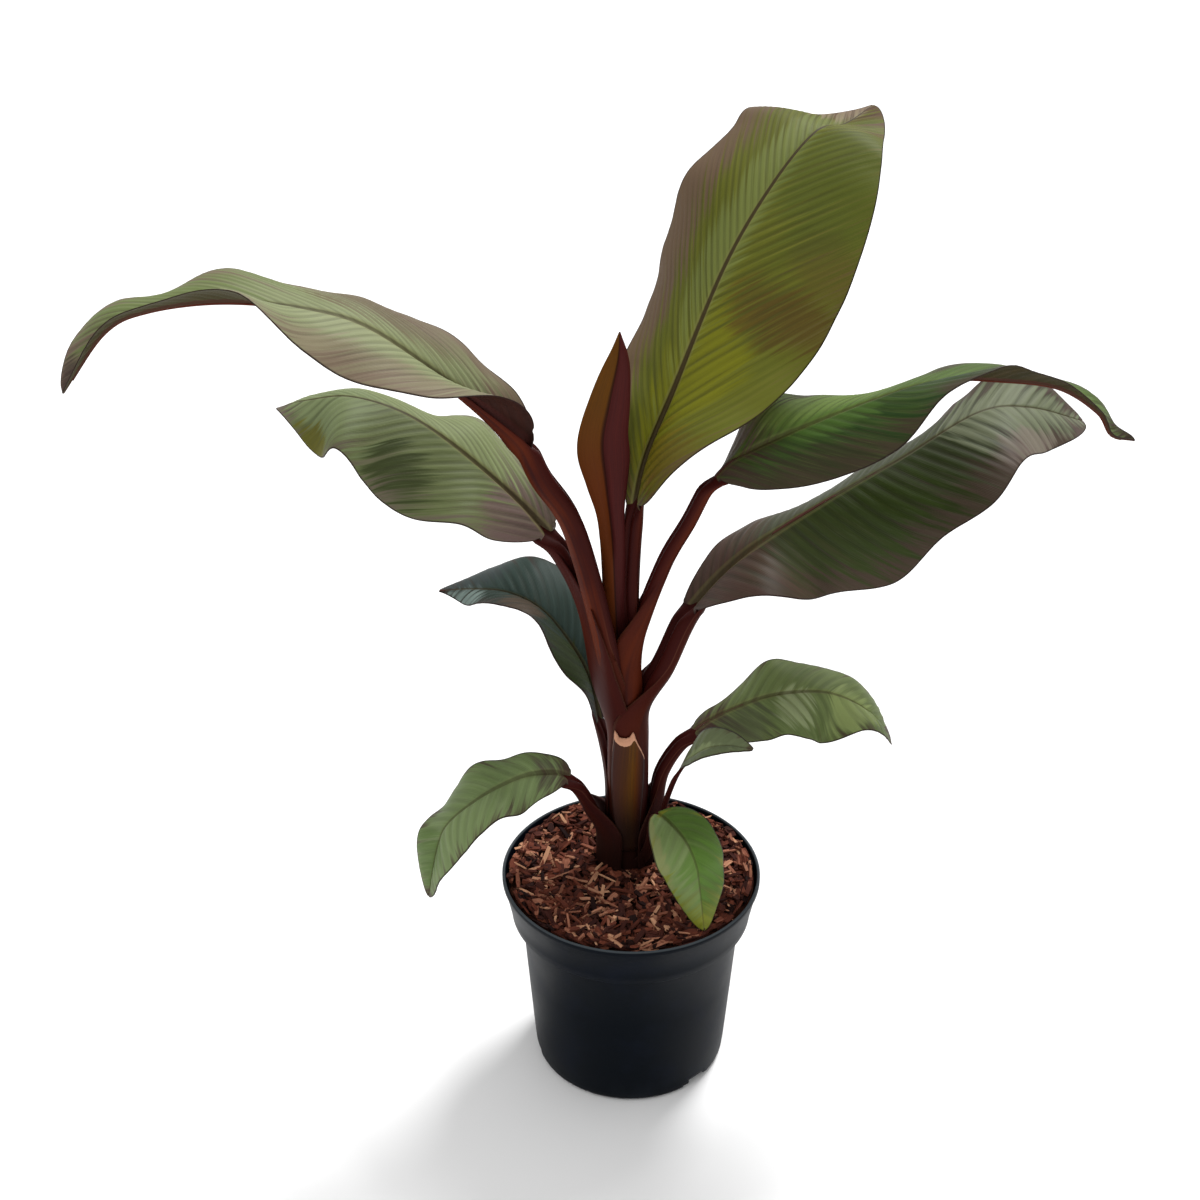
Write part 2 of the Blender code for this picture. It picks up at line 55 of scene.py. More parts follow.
# ---- pot and root ball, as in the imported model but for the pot's swell and the spread of its notches ----
POT_HEIGHT = 0.180
RIM_RADIUS = 0.105
COLLAR_DEPTH = 0.039
COLLAR_FOOT = POT_HEIGHT - COLLAR_DEPTH
COLLAR_FOOT_RADIUS = 0.097
BODY_TOP_RADIUS = 0.088
BASE_RADIUS = 0.0775
BASE_ROUNDING = 0.005
BODY_SWELL = 0.0018
POT_WALL = 0.0025
POT_FLOOR = 0.010
DRAIN_NOTCHES = 3
FIRST_NOTCH_HEADING = -46
DRAIN_NOTCH_RADIUS = 0.006
DRAIN_NOTCH_DEPTH = 0.009
DRAIN_NOTCH_ROOF = 0.85
DRAIN_NOTCH_SPREAD = 2.4
POT_STEPS = 192
SOIL_LEVEL = 0.172
GAP = 0.0003
BLADE_GAP = 0.0007
STEM_FOOT = Vector((-0.005, 0.025, SOIL_LEVEL + GAP))

# ---- cut sheath: headings of its edges from the foot up, and heights of its torn rim from left to right ----
SHEATH_FOOT = 0.022
SHEATH_RADII = (0.0200, 0.0222)
SHEATH_THICKNESS = 0.0034
SHEATH_LEFT_HEADINGS = (262, 248, 240, 238, 240, 246)
SHEATH_RIGHT_HEADINGS = (300, 305, 308, 311, 313, 312)
SHEATH_OUTER_RIM = (0.1345, 0.1310, 0.1290, 0.1288, 0.1296, 0.1335, 0.1265, 0.1190, 0.1110)
SHEATH_INNER_RIM = (0.1400, 0.1335, 0.1325, 0.1325, 0.1335, 0.1372, 0.1275, 0.1195, 0.1110)

# ---- leaves ----
TIP_HALF_WIDTH = 0.0015
# How deep a stalk is below and above its middle, in half-widths.
STALK_OUTER_DEPTH = 0.95
STALK_INNER_DEPTH = 0.65

# route: points along stalk and midrib as (reach, height) or (reach, aside, height) from the stem's foot,
#   aside counting to the right when looking outwards.
# blade_from: the route point where the blade begins, and lower: how far down the stalk from there it starts.
# stalk: its half-width at the foot and where the blade begins. split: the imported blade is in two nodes.
# left, right: a blade half's greatest width, the share of the length where it has it, and how full its
#   base and tip are (a smaller number is fuller).
# left_fullness, right_fullness: the share by which that width is more or less, from the base to the tip.
# left_slopes, right_slopes: how far that half tilts up from level, in degrees, from the base to the tip.
LEAVES = {
    "tall_leaf": dict(
        heading=48, blade_from=3, stalk=(0.0105, 0.0080), lower=0.016,
        route=((0.0, -0.01), (0.004, 0.14), (0.0055, -0.003, 0.25), (0.018, -0.004, 0.338), (0.051, 0.404),
               (0.106, 0.484), (0.161, 0.534), (0.213, 0.563), (0.252, 0.561), (0.287, 0.568)),
        left=(0.076, 0.68, 0.62, 0.52), right=(0.092, 0.45, 0.60, 0.7),
        left_fullness=(0, 0.06, -0.04, 0.02, 0.03, 0.02, -0.08, 0.10, -0.9),
        right_fullness=(0, -0.14, -0.06, -0.01, 0.02, 0.03, 0.05, 0.03, 0),
        left_slopes=(20, 45, 5, -15, -12, 0, 0, 0, -10),
        right_slopes=(35, 20, -12, -27, -28, -24, -15, -5, 5)),
    "left_upper_leaf": dict(
        heading=192, blade_from=5, stalk=(0.0115, 0.0112), split=True,
        route=((0.0, -0.003, -0.01), (0.008, -0.004, 0.137), (0.014, -0.004, 0.203),
               (0.0385, -0.003, 0.311), (0.063, -0.001, 0.357), (0.079, 0.388), (0.130, 0.439),
               (0.182, 0.484), (0.226, 0.502), (0.28, 0.511), (0.33, 0.508), (0.360, 0.495),
               (0.392, 0.454)),
        left=(0.047, 0.4, 0.6, 0.8), right=(0.052, 0.4, 0.6, 0.7),
        left_fullness=(0, 0, 0, 0.03, 0.04, -0.05, -0.55, -0.62, -0.5),
        right_fullness=(0, -0.06, 0.14, 0.24, -0.04, 0.08, -0.28, 0.06, 0.5),
        left_slopes=(80, 34, -12, -38, -20, 31, 34, 33, 34), right_slopes=(60, 38, 15, 0, -5, 7, 0, 20, 36)),
    "left_lower_leaf": dict(
        heading=172, blade_from=4, stalk=(0.0100, 0.0098),
        route=((0.004, 0.001, -0.01), (0.0115, 0.003, 0.111), (0.019, 0.006, 0.165), (0.032, 0.007, 0.240),
               (0.062, 0.006, 0.298), (0.113, 0.004, 0.352), (0.161, 0.002, 0.389), (0.205, 0.403),
               (0.240, 0.398), (0.264, 0.390)),
        left=(0.070, 0.5, 0.7, 0.8), right=(0.055, 0.45, 0.6, 0.6),
        left_fullness=(0, 0.12, 0.0, 0.04, 0.04, 0, 0.04, 0.34, 0),
        right_fullness=(0, -0.08, 0, 0.06, -0.02, -0.02, -0.08, -0.06, 0),
        left_slopes=(-35, -25, -22, -38, -38, -35, -18, -40, 12),
        right_slopes=(50, 15, 5, 0, -18, -22, -18, -18, -18)),
    "back_leaf": dict(
        heading=150, blade_from=3, stalk=(0.008, 0.005),
        route=((0.0, 0.004, -0.01), (0.006, 0.008, 0.030), (0.018, 0.010, 0.068), (0.030, 0.010, 0.123),
               (0.042, 0.010, 0.164), (0.064, 0.010, 0.193), (0.087, 0.010, 0.210), (0.117, 0.010, 0.215),
               (0.148, 0.010, 0.209), (0.182, 0.010, 0.198)),
        left=(0.035, 0.35, 1.3, 1.2), right=(0.048, 0.45, 0.6, 0.8),
        left_fullness=(0, -0.15, -0.08, 0, 0, 0.10, 0.10, 0.36, 0.2),
        right_fullness=(0, 0, 0, 0, 0, 0, 0.06, 0.22, 0),
        left_slopes=(0, 15, 8, 15, 25, 12, -10, -45, -52), right_slopes=(20, 20, 15, 10, 12, 22, 15, 5, 5)),
    "right_upper_leaf": dict(
        heading=5, blade_from=5, stalk=(0.0105, 0.0070), split=True,
        route=((0.0, -0.01), (-0.005, 0.117), (0.005, 0.204), (0.026, 0.273), (0.045, 0.311),
               (0.065, 0.350), (0.095, 0.371), (0.178, 0.406), (0.229, 0.42), (0.275, 0.418), (0.319, 0.41),
               (0.351, 0.389), (0.364, 0.37), (0.382, 0.365)),
        left=(0.047, 0.45, 0.6, 0.8), right=(0.055, 0.33, 0.6, 2.8),
        left_fullness=(-0.2, 0.28, 0.18, 0.08, -0.12, 0.16, 0.28, 0.12, 0),
        right_fullness=(0, -0.04, -0.02, 0, -0.04, 0.28, -0.20, 0, 0),
        left_slopes=(-30, 25, 0, -25, -20, -8, -11, 12, 50),
        right_slopes=(-45, -45, -32, -22, 10, 40, 50, 50, 50)),
    "right_lower_leaf": dict(
        heading=20, blade_from=3, stalk=(0.0128, 0.0108),
        route=((0.0, 0.002, -0.01), (0.0, 0.004, 0.117), (0.031, 0.004, 0.189), (0.055, 0.23),
               (0.101, 0.271), (0.166, 0.304), (0.227, 0.329), (0.293, 0.358), (0.339, 0.355),
               (0.391, 0.335)),
        left=(0.060, 0.5, 0.95, 0.6), right=(0.080, 0.5, 0.65, 0.6),
        left_fullness=(0, -0.06, 0.08, -0.08, -0.03, -0.14, -0.06, 0.42, 0.2),
        right_fullness=(0, 0.10, -0.02, 0.10, 0.0, 0.08, -0.08, -0.12, 0),
        left_slopes=(20, 5, -22, -32, -30, -30, -15, 20, 22),
        right_slopes=(15, -5, -58, -50, -25, -18, -18, -32, -5)),
    "low_right_leaf": dict(
        heading=5, blade_from=4, stalk=(0.009, 0.007),
        route=((0.0, -0.01), (0.010, 0.01), (0.022, 0.036), (0.029, 0.086), (0.055, 0.124), (0.096, 0.147),
               (0.131, 0.155), (0.166, 0.152), (0.197, 0.132), (0.217, 0.101)),
        left=(0.035, 0.5, 0.7, 0.6), right=(0.040, 0.5, 0.7, 0.7),
        left_fullness=(0, -0.5, -0.04, 0.05, 0, 0.04, 0.08, 0.30, 0.1),
        right_fullness=(0, 0.10, 0.04, -0.03, 0, 0.08, -0.05, -0.04, 0),
        left_slopes=(0, 0, 0, 20, 10, 0, 12, 10, 15),
        right_slopes=(-45, -50, -55, -30, -45, -60, -10, 5, 10)),
    "small_leaf": dict(
        heading=-32, blade_from=4, stalk=(0.0036, 0.0026),
        route=((0.0206, -0.001, -0.01), (0.026, -0.002, 0.028), (0.0325, -0.002, 0.052), (0.0405, 0.081),
               (0.0510, 0.110), (0.0615, 0.1235), (0.0750, 0.1365), (0.0925, 0.145), (0.1135, 0.149)),
        left=(0.019, 0.33, 0.6, 0.9), right=(0.012, 0.35, 0.5, 0.8),
        left_slopes=(15, 30, 35, 25, 20), right_slopes=(-10, -15, -10)),
    "low_left_leaf": dict(
        heading=200, blade_from=3, stalk=(0.009, 0.007), split=True,
        route=((0.010, -0.01), (0.0175, 0.019), (0.0305, 0.064), (0.049, 0.0935), (0.070, 0.102),
               (0.092, 0.102), (0.122, 0.091), (0.148, 0.074), (0.158, 0.054), (0.168, 0.005)),
        left=(0.034, 0.5, 0.7, 0.7), right=(0.030, 0.5, 0.7, 0.7),
        left_fullness=(0, -0.02, -0.04, -0.05, 0, 0.03, 0, -0.10, 0),
        right_fullness=(0, -0.16, -0.02, 0.05, 0.14, 0.04, 0.08, 0.16, 0),
        left_slopes=(-40, -42, -52, -12, -10, -15, -8, 0, -5),
        right_slopes=(50, 55, 10, 18, -5, -10, 18, 20, 25)),
    "front_leaf": dict(
        heading=-60, blade_from=4, stalk=(0.006, 0.004),
        route=((0.006, -0.006, -0.01), (0.020, -0.006, 0.012), (0.031, -0.006, 0.035),
               (0.037, -0.004, 0.055), (0.047, -0.002, 0.074), (0.087, 0.078), (0.107, 0.065),
               (0.114, 0.045), (0.122, 0.009)),
        left=(0.031, 0.5, 0.7, 0.7), right=(0.030, 0.5, 0.7, 0.7),
        left_slopes=(20, 25, 15, -5, -15, -18, -12, -10, -5),
        right_slopes=(0, -5, -10, -25, -38, -40, -45, -50, -55)),
}

# The furled leaf: half_widths are spread evenly along the route above the height free_from. foot: its
#   half-width below that. depth: half the thickness of its roll.
SPEAR = dict(
    heading=90, free_from=0.290, foot=0.010, depth=0.0055,
    route=((0.010, -0.01), (0.010, -0.004, 0.149), (0.010, -0.008, 0.240), (0.010, -0.0105, 0.293),
           (0.010, -0.0154, 0.343), (0.010, -0.0180, 0.376), (0.010, -0.0130, 0.408), (0.010, -0.0072, 0.440),
           (0.010, -0.0062, 0.461)),
    half_widths=(0.0100, 0.0108, 0.0155, 0.0195, 0.0175, 0.0142, 0.0092, 0.0006))

# Leaf colours, sRGB 0 to 255. pale: how much of the left and right half is painted pale green as sheen, where
# that
#   half's waxy face reflects the light. margin: where across a half the browning starts and is full. ends:
#   the shares of the length that brown at the base and the tip.
#   lean: how far the left and right side veins run towards the tip for each step outwards.
#   ribs: how strongly painted shade darkens the folds between the side veins, and how plain the midrib shows.
#   glow: how much light shows through the stalk, and where round it: 0 below, 0.5 at its right edge.
#   patches: areas of another colour: (across, along, half its width, half its length, strength, colour). The
#       pale
#   green ones are painted sheen where a wavy or twisted blade faces the light; the brown ones are the leaf's
#   own flush.
LOOKS = {
    "tall_leaf": dict(
        green=(74, 80, 16), pale_sheen_green=(116, 116, 40), brown=(88, 66, 46), under=(112, 86, 60),
        pale=(0.3, 0.35), margin=(0.8, 1.4), ends=(0.05, 0.04), lean=(1.7, 1.1), ribs=(0.4, 1.0),
        glow=(0.5, 0.3),
        patches=((-0.95, 0.5, 0.45, 0.8, 0.9, (98, 76, 62)), (0.1, 0.20, 0.5, 0.28, 0.8, (112, 112, 14)),
                 (-0.12, 0.6, 0.25, 0.4, 0.6, (112, 122, 66)), (0.6, 0.43, 0.5, 0.08, 0.75, (80, 58, 22)),
                 (0.75, 0.55, 0.35, 0.08, 0.4, (88, 66, 30)), (0.5, 0.10, 0.6, 0.09, 0.5, (104, 76, 26)),
                 (0.55, 0.72, 0.6, 0.22, 0.5, (66, 78, 24)), (-0.4, 0.97, 0.6, 0.10, 0.7, (140, 122, 104)))),
    "left_upper_leaf": dict(
        green=(86, 96, 52), pale_sheen_green=(144, 150, 112), brown=(104, 84, 72), under=(46, 20, 13),
        pale=(0.7, 0.6), margin=(0.5, 1.1), ends=(0.12, 0.10), lean=(1.5, 1.8), ribs=(0.4, 0.5),
        glow=(0.7, -0.15),
        patches=((0.6, 0.32, 0.5, 0.16, 0.7, (96, 76, 62)), (0.3, 0.75, 0.9, 0.22, 0.7, (92, 106, 56)),
                 (-0.7, 0.36, 0.4, 0.2, 0.6, (124, 104, 90)), (-0.2, 0.4, 0.3, 0.14, 0.3, (158, 160, 128)),
                 (0.1, 0.98, 0.9, 0.05, 0.9, (66, 50, 44)))),
    "left_lower_leaf": dict(
        green=(62, 70, 32), pale_sheen_green=(128, 138, 94), brown=(96, 84, 74), under=(96, 84, 34),
        pale=(0.45, 0.9), margin=(0.7, 1.25), ends=(0.16, 0.04), lean=(1.1, 1.6), ribs=(0.45, 0.8),
        glow=(0.45, 0.0),
        patches=((-0.4, 0.08, 1.0, 0.16, 0.7, (104, 84, 80)), (-0.65, 0.52, 0.4, 0.16, 0.8, (44, 52, 22)),
                 (-0.2, 0.80, 0.8, 0.18, 0.8, (118, 130, 90)), (-0.85, 0.87, 0.4, 0.06, 0.9, (96, 92, 30)))),
    # The back leaf's dark blue-green is partly painted shade, for its drooping upper face in shade; its pale
    # blue-green patch near the tip of its left half is painted sheen.
    "back_leaf": dict(
        green=(30, 44, 36), pale_sheen_green=(64, 80, 76), brown=(50, 42, 36), under=(84, 54, 42),
        pale=(0.0, 0.35), margin=(0.7, 1.3), ends=(0.10, 0.08), lean=(1.0, 1.0), ribs=(0.3, 0.5),
        glow=(0.2, 0.0),
        patches=((-0.6, 0.27, 0.7, 0.20, 0.95, (40, 50, 18)), (-0.6, 0.56, 0.7, 0.10, 0.95, (66, 52, 38)),
                 (-0.6, 0.84, 0.7, 0.12, 0.8, (122, 138, 132)), (0.6, 0.9, 0.9, 0.2, 0.6, (50, 56, 58)))),
    "right_upper_leaf": dict(
        green=(28, 50, 10), pale_sheen_green=(92, 116, 50), brown=(58, 44, 34), under=(58, 40, 18),
        pale=(0.6, 0.1), margin=(0.55, 1.15), ends=(0.12, 0.10), lean=(1.4, 0.9), ribs=(0.35, 0.25),
        glow=(0.5, 0.2),
        patches=((-0.8, 0.08, 0.7, 0.10, 0.8, (92, 76, 66)), (-0.5, 0.28, 0.5, 0.17, 0.8, (104, 126, 60)),
                 (0.5, 0.9, 1.0, 0.2, 0.5, (110, 128, 78)), (0.8, 0.20, 0.5, 0.16, 0.6, (52, 44, 28)),
                 (0.1, 0.28, 0.3, 0.12, 0.6, (70, 98, 36)))),
    "right_lower_leaf": dict(
        green=(42, 52, 18), pale_sheen_green=(88, 92, 72), brown=(70, 54, 46), under=(88, 58, 44),
        pale=(0.5, 0.1), margin=(0.5, 1.05), ends=(0.22, 0.03), lean=(0.9, 0.3), ribs=(0.45, 0.5),
        glow=(0.35, 0.1),
        patches=((-0.6, 0.12, 0.7, 0.14, 0.6, (84, 62, 54)), (0.1, 0.84, 1.0, 0.20, 0.85, (112, 118, 92)),
                 (0.8, 0.80, 0.3, 0.14, 0.6, (122, 106, 100)), (0.4, 0.36, 0.5, 0.2, 0.5, (50, 66, 20)),
                 (0.3, 0.10, 0.8, 0.12, 0.6, (74, 54, 46)))),
    "low_right_leaf": dict(
        green=(66, 80, 40), pale_sheen_green=(124, 138, 86), brown=(66, 50, 40), under=(92, 76, 58),
        pale=(0.45, 0.35), margin=(0.8, 1.35), ends=(0.16, 0.04), lean=(0.8, 0.7), ribs=(0.3, 0.35),
        glow=(0.3, 0.1),
        patches=((0.3, 0.45, 0.5, 0.10, 0.7, (142, 152, 112)), (0.5, 0.2, 0.6, 0.14, 0.6, (66, 68, 50)),
                 (0.3, 0.72, 0.7, 0.14, 0.8, (136, 150, 92)), (0.0, 0.03, 1.0, 0.07, 0.8, (70, 48, 44)))),
    "small_leaf": dict(
        green=(88, 98, 68), pale_sheen_green=(118, 128, 92), brown=(80, 72, 54), under=(98, 96, 72),
        pale=(0.4, 0.3), margin=(0.8, 1.3), ends=(0.10, 0.05), lean=(0.8, 0.8), ribs=(0.1, 0.0),
        glow=(0.0, 0.0),
        patches=((0.0, 0.35, 0.3, 0.3, 0.7, (140, 152, 108)),)),
    "low_left_leaf": dict(
        green=(84, 102, 56), pale_sheen_green=(130, 146, 100), brown=(70, 56, 46), under=(88, 70, 54),
        pale=(0.5, 0.35), margin=(0.8, 1.3), ends=(0.10, 0.05), lean=(0.7, 0.7), ribs=(0.25, 0.2),
        glow=(0.2, 0.0),
        patches=((0.0, 0.10, 1.0, 0.08, 0.5, (76, 72, 60)), (0.2, 0.8, 0.8, 0.15, 0.6, (76, 100, 44)))),
    "front_leaf": dict(
        green=(72, 98, 38), pale_sheen_green=(112, 130, 80), brown=(112, 116, 34), under=(104, 106, 66),
        pale=(0.05, 0.85), margin=(0.85, 1.2), ends=(0.02, 0.14), lean=(0.9, 0.9), ribs=(0.2, 0.15),
        glow=(0.2, 0.0),
        patches=((0.9, 0.3, 0.25, 0.5, 0.6, (128, 128, 84)), (-0.2, 0.60, 0.8, 0.20, 0.6, (84, 118, 44)))),
}

# How each leaf's sheath wraps the stem. radius: from the stem's axis. left, right: how far round it reaches
#   from the leaf's heading, in degrees, at even heights from the soil to SHEATH_TOP. middle, edges: the
#   heights between which that part of it turns from a sheath into a stalk. round: the leaf whose stalk its
#   edges follow higher up.
SHEATH_TOP = 0.28
SHEATHS = {
    "low_left_leaf": dict(radius=0.0235, left=(62, 64, 50, 50, 50, 50, 50, 50), right=(80,) * 8,
                          middle=(0.020, 0.060), edges=(0.035, 0.075)),
    "low_right_leaf": dict(radius=0.0225, left=(80,) * 8, right=(66, 66, 50, 50, 50, 50, 50, 50),
                           middle=(0.015, 0.055), edges=(0.030, 0.080)),
    "back_leaf": dict(radius=0.0165, left=(62,) * 8, right=(100,) * 8,
                      middle=(0.050, 0.115), edges=(0.060, 0.125)),
    "front_leaf": dict(radius=0.0215, left=(50,) * 8, right=(40,) * 8,
                       middle=(-0.008, 0.012), edges=(-0.008, 0.020)),
    "right_lower_leaf": dict(radius=0.0192, left=(110, 110, 110, 100, 80, 60, 50, 50),
                             right=(120, 140, 150, 150, 126, 52, 50, 50),
                             middle=(0.125, 0.180), edges=(0.140, 0.192)),
    "left_lower_leaf": dict(radius=0.0146, left=(100, 115, 128, 125, 118, 103, 82, 60),
                            right=(120, 120, 120, 110, 90, 60, 50, 50), round="left_upper_leaf",
                            middle=(0.115, 0.185), edges=(0.235, 0.290)),
    "right_upper_leaf": dict(radius=0.0143, left=(120, 120, 120, 120, 110, 90, 60, 50),
                             right=(120, 130, 140, 150, 153, 152, 92, 50),
                             middle=(0.150, 0.235), edges=(0.210, 0.270)),
    "left_upper_leaf": dict(radius=0.0126, left=(95, 95, 95, 95, 95, 80, 60, 50),
                            right=(110, 110, 110, 110, 100, 80, 60, 50),
                            middle=(0.120, 0.190), edges=(0.150, 0.225)),
    "tall_leaf": dict(radius=0.0107, left=(150, 150, 150, 150, 150, 120, 80, 50),
                      right=(150, 150, 150, 150, 150, 130, 90, 50),
                      middle=(0.170, 0.260), edges=(0.200, 0.275)),
}

# ---- finer shape of the blades ----
# The rows and columns of a blade's mesh are about a step apart, and its columns crowd towards the midrib.
ROW_STEP = 0.0020
COLUMN_STEP = 0.0022
COLUMN_CROWDING = 1.2
FEWEST_COLUMNS = 6
# How far a blade's hidden start runs down its stalk, and how wide and how sunk it is there.
BLADE_LEAD = 0.012
LONGEST_LEAD_SHARE = 0.1
LEAD_WIDTH = 0.85
LEAD_SINK = 0.35
# How far each half arches, and how the side veins sweep to the tip, stray and vary in strength.
# Factors of side and number in the noise calls only give each half and each leaf its own pattern.
BOW = math.radians(16)
LEAST_BOW = 0.001
VEIN_CURVE = 2.4
VEIN_STRAYING = 0.004
PLEAT_SHARE = 0.65
PLEAT_VARIETY = 0.6
PLEAT_LOSS_AT_MARGIN = 0.85
# Waves along the margin, full where a half is at least RIPPLE_WIDTH wide.
RIPPLE_LENGTH = 0.034
RIPPLE_GAIN = 1.6
RIPPLE_WIDTH = 0.03
# The midrib's groove: its half-width as a share of the stalk's, then its depth and spread as shares of that.
RIB_SHARE = 0.34
RIB_TIP_RADIUS = 0.0006
RIB_DEPTH = 0.55
RIB_SPREAD = 0.75

# ---- finer shape of the stalks and sheaths ----
STALK_STEP = 0.004
STALK_COLUMNS = 48
# The channel along a stalk's upper side: its depth as a share, and its half-width in half-widths.
CHANNEL_DEPTH = 0.6
CHANNEL_WIDTH = 0.25
# Under its blade a stalk thins to a share of itself, faster at first, and ends RIB_END thick.
RIB_START_SHARE = 0.30
RIB_THINNING = 14
RIB_END = 0.0009
RIB_ROUNDNESS = 0.75
RIB_CLEARANCE = 0.0005
RIB_ENDS_AT = 0.97
# Its top settles against the blade from UNDER_FROM before the blade's start to UNDER_BY past it, and
# follows the blade's slope between these, in radians.
UNDER_FROM = 0.018
UNDER_BY = 0.006
STEEPEST_FALL = -1.2
STEEPEST_RISE = 0.5
# A sheath thins upwards, and from SHEATH_EDGE at its edges to SHEATH_BODY more at its middle. Between two
# heights a sheath that follows an inner leaf leaves the stem's axis for that leaf's stalk.
SHEATH_TAPER = 0.06
SHEATH_EDGE = 0.0003
SHEATH_BODY = 0.0028
INNER_LEAF_HEIGHTS = (0.12, 0.19)

# ---- finer shape of the stem's core, the furled leaf and the cut sheath ----
CORE_RADII = (0.0130, 0.0065)
CORE_HEIGHTS = (-0.008, 0.170)
# The furled leaf: how thin and how round it is at its margin and at its foot, and the fold beside the roll.
THIN_SHARE = 0.30
FOOT_ROUNDNESS = 0.75
FOLD_DEPTH = 0.0012
FOLD_AT = 0.02
FOLD_WIDTH = 0.07
# Cut sheath: shares of the mesh's rows where its outer face ends and where its cut face ends.
OUTER_FACE_END = 0.56
CUT_FACE_END = 0.66
TEAR_ROUGHNESS = 0.0006

# ---- bark mulch: least and greatest sizes of each kind of chip, and the mean and spread of its tone ----
STRAW = dict(sizes=((0.014, 0.032), (0.0012, 0.0034), (0.0008, 0.0014)))
SPLINTER = dict(sizes=((0.008, 0.020), (0.0018, 0.0042), (0.0010, 0.0022)), tone=(0.45, 0.24))
CHUNK = dict(sizes=((0.006, 0.012), (0.0035, 0.0065), (0.0018, 0.0034)), tone=(0.40, 0.18))
STRAW_TONES = (0.7, 1.05)
STRAW_SHARE = 0.09
SPLINTER_SHARE = 0.75
STRAWS_ABOVE = 0.4
MULCH_RADIUS = RIM_RADIUS - 0.0065
MULCH_DEPTH = 0.0042
CLEAR_OF_STEM = 0.017
CLEAR_OF_WALL = 0.0045
# Chips turn to lie along the wall from the first to the second distance off it, and are shorter there.
WALL_ZONE = (0.014, 0.006)
LENGTH_AT_WALL = 0.009
# How unevenly chips lie: their least tilt and what the top layer adds, their roll, and their lift.
TILT = 0.20
TOP_TILT = 0.15
ROLL = 0.45
LEAST_LIFT = 0.0005
LIFT_SPREAD = 0.0008
PEAT_LEVEL = SOIL_LEVEL - 0.002
PEAT_RISE_AT_WALL = 0.0045
PEAT_UNDER_CHIPS = 0.002
PEAT_TOP_DEPTH = 0.006
PEAT_LUMPS = ((0.0022, 60), (0.0012, 170))
PEAT_RINGS = 30
PEAT_STEPS = 96

# ---- stage ----
FLOOR_HALF_SIZE = 7
SUN_PLACE = (1.0, 1.5, 2.5)
SUN_ANGLE = math.radians(18)
SUN_STRENGTH = 2.9
FILL_PLACE = (-1.6, -1.6, 1.9)
FILL_TARGET = (0, 0, 0.3)
FILL_SIZE = 2.0
FILL_POWER = 8
WORLD_STRENGTH = 0.78
CAMERA_PLACE = (-0.0253, -1.266, 1.1584)
CAMERA_DIP = 29.83
CAMERA_LENS = 58.30
CAMERA_SENSOR = 36

# Vertices closer together than this are joined.
MERGE_DISTANCE = 0.00001
MILLIMETRES = 1000


# ---------------------------------------------------------------- settings

def colour_setting(name, description, red, green, blue):
    """A colour in the sidebar, given as sRGB 0 to 255."""
    return bpy.props.FloatVectorProperty(name=name, description=description, subtype="COLOR", size=3, min=0,
                                         max=1, default=paint(red, green, blue))


def length_setting(name, description, default):
    return bpy.props.FloatProperty(name=name, description=description, subtype="DISTANCE", unit="LENGTH",
                                   precision=5, min=0, default=default)


def paint(red, green, blue):
    """An sRGB colour of 0 to 255 as Blender's linear values."""
    shares = [channel / 255 for channel in (red, green, blue)]
    return tuple(share / 12.92 if share <= 0.04045 else ((share + 0.055) / 1.055) ** 2.4 for share in shares)


class LeafColours(bpy.types.PropertyGroup):
    """The colours of one leaf."""

    green: colour_setting("Green", "Upper face beside the midrib", 80, 100, 50)
    # Painted sheen: the pale green stands in for the light a waxy blade reflects.
    pale_sheen_green: colour_setting("Pale green", "Upper face where it is pale", 130, 140, 100)
    brown: colour_setting("Brown", "Flush along the margins, base and tip", 90, 66, 54)
    under: colour_setting("Underside", "Lower face", 90, 60, 50)


class PlantSettings(bpy.types.PropertyGroup):
    """Sizes and colours of the whole plant."""

    leaves: bpy.props.CollectionProperty(type=LeafColours, name="Leaves", description="Colours of each leaf")
    leaf_thickness: length_setting("Leaf thickness", "Thickness of every blade", 0.0007)
    vein_spacing: length_setting("Vein spacing", "Distance between the side veins along the midrib", 0.0105)
    pleat_height: length_setting("Pleat height", "How far the blade rises between two side veins", 0.0006)
    ripple_height: length_setting("Ripple height", "How far the margins wave", 0.0024)
    leaf_roughness: bpy.props.FloatProperty(name="Leaf roughness", description="Roughness of the upper faces",
                                            subtype="FACTOR", min=0, max=1, default=0.5)
    maroon: colour_setting("Maroon", "Stalks and sheaths where dark", 52, 13, 9)
    amber: colour_setting("Amber", "Stalks and sheaths where light shines through", 96, 38, 11)
    cut_face: colour_setting("Cut face", "Freshly cut sheath", 190, 140, 112)
    spear_red: colour_setting("Furled leaf red", "Rolled part of the furled leaf", 80, 28, 24)
    # The furled leaf's amber is painted light: it stands in for light shining through the thin margin.
    spear_backlit_amber: colour_setting("Furled leaf amber", "Thin part of the furled leaf", 98, 58, 6)
    pot_colour: colour_setting("Pot", "Moulded pot", 4, 9, 16)
    # The pot edge colour is a painted highlight along the rim's lip.
    pot_rim_highlight: colour_setting("Pot edge", "Rim edge worn paler", 78, 84, 88)
    bark_dark: colour_setting("Dark bark", "Damp bark", 30, 14, 12)
    bark_red: colour_setting("Red bark", "Most bark chips", 106, 54, 38)
    bark_tan: colour_setting("Tan bark", "Dry chips and straws", 200, 150, 116)
    chip_count: bpy.props.IntProperty(name="Bark chips", description="Chips on the root ball", min=0,
                                      default=1900)
    seed: bpy.props.IntProperty(name="Seed", description="Start of the random draws", min=0, default=7)


# ---------------------------------------------------------------- materials

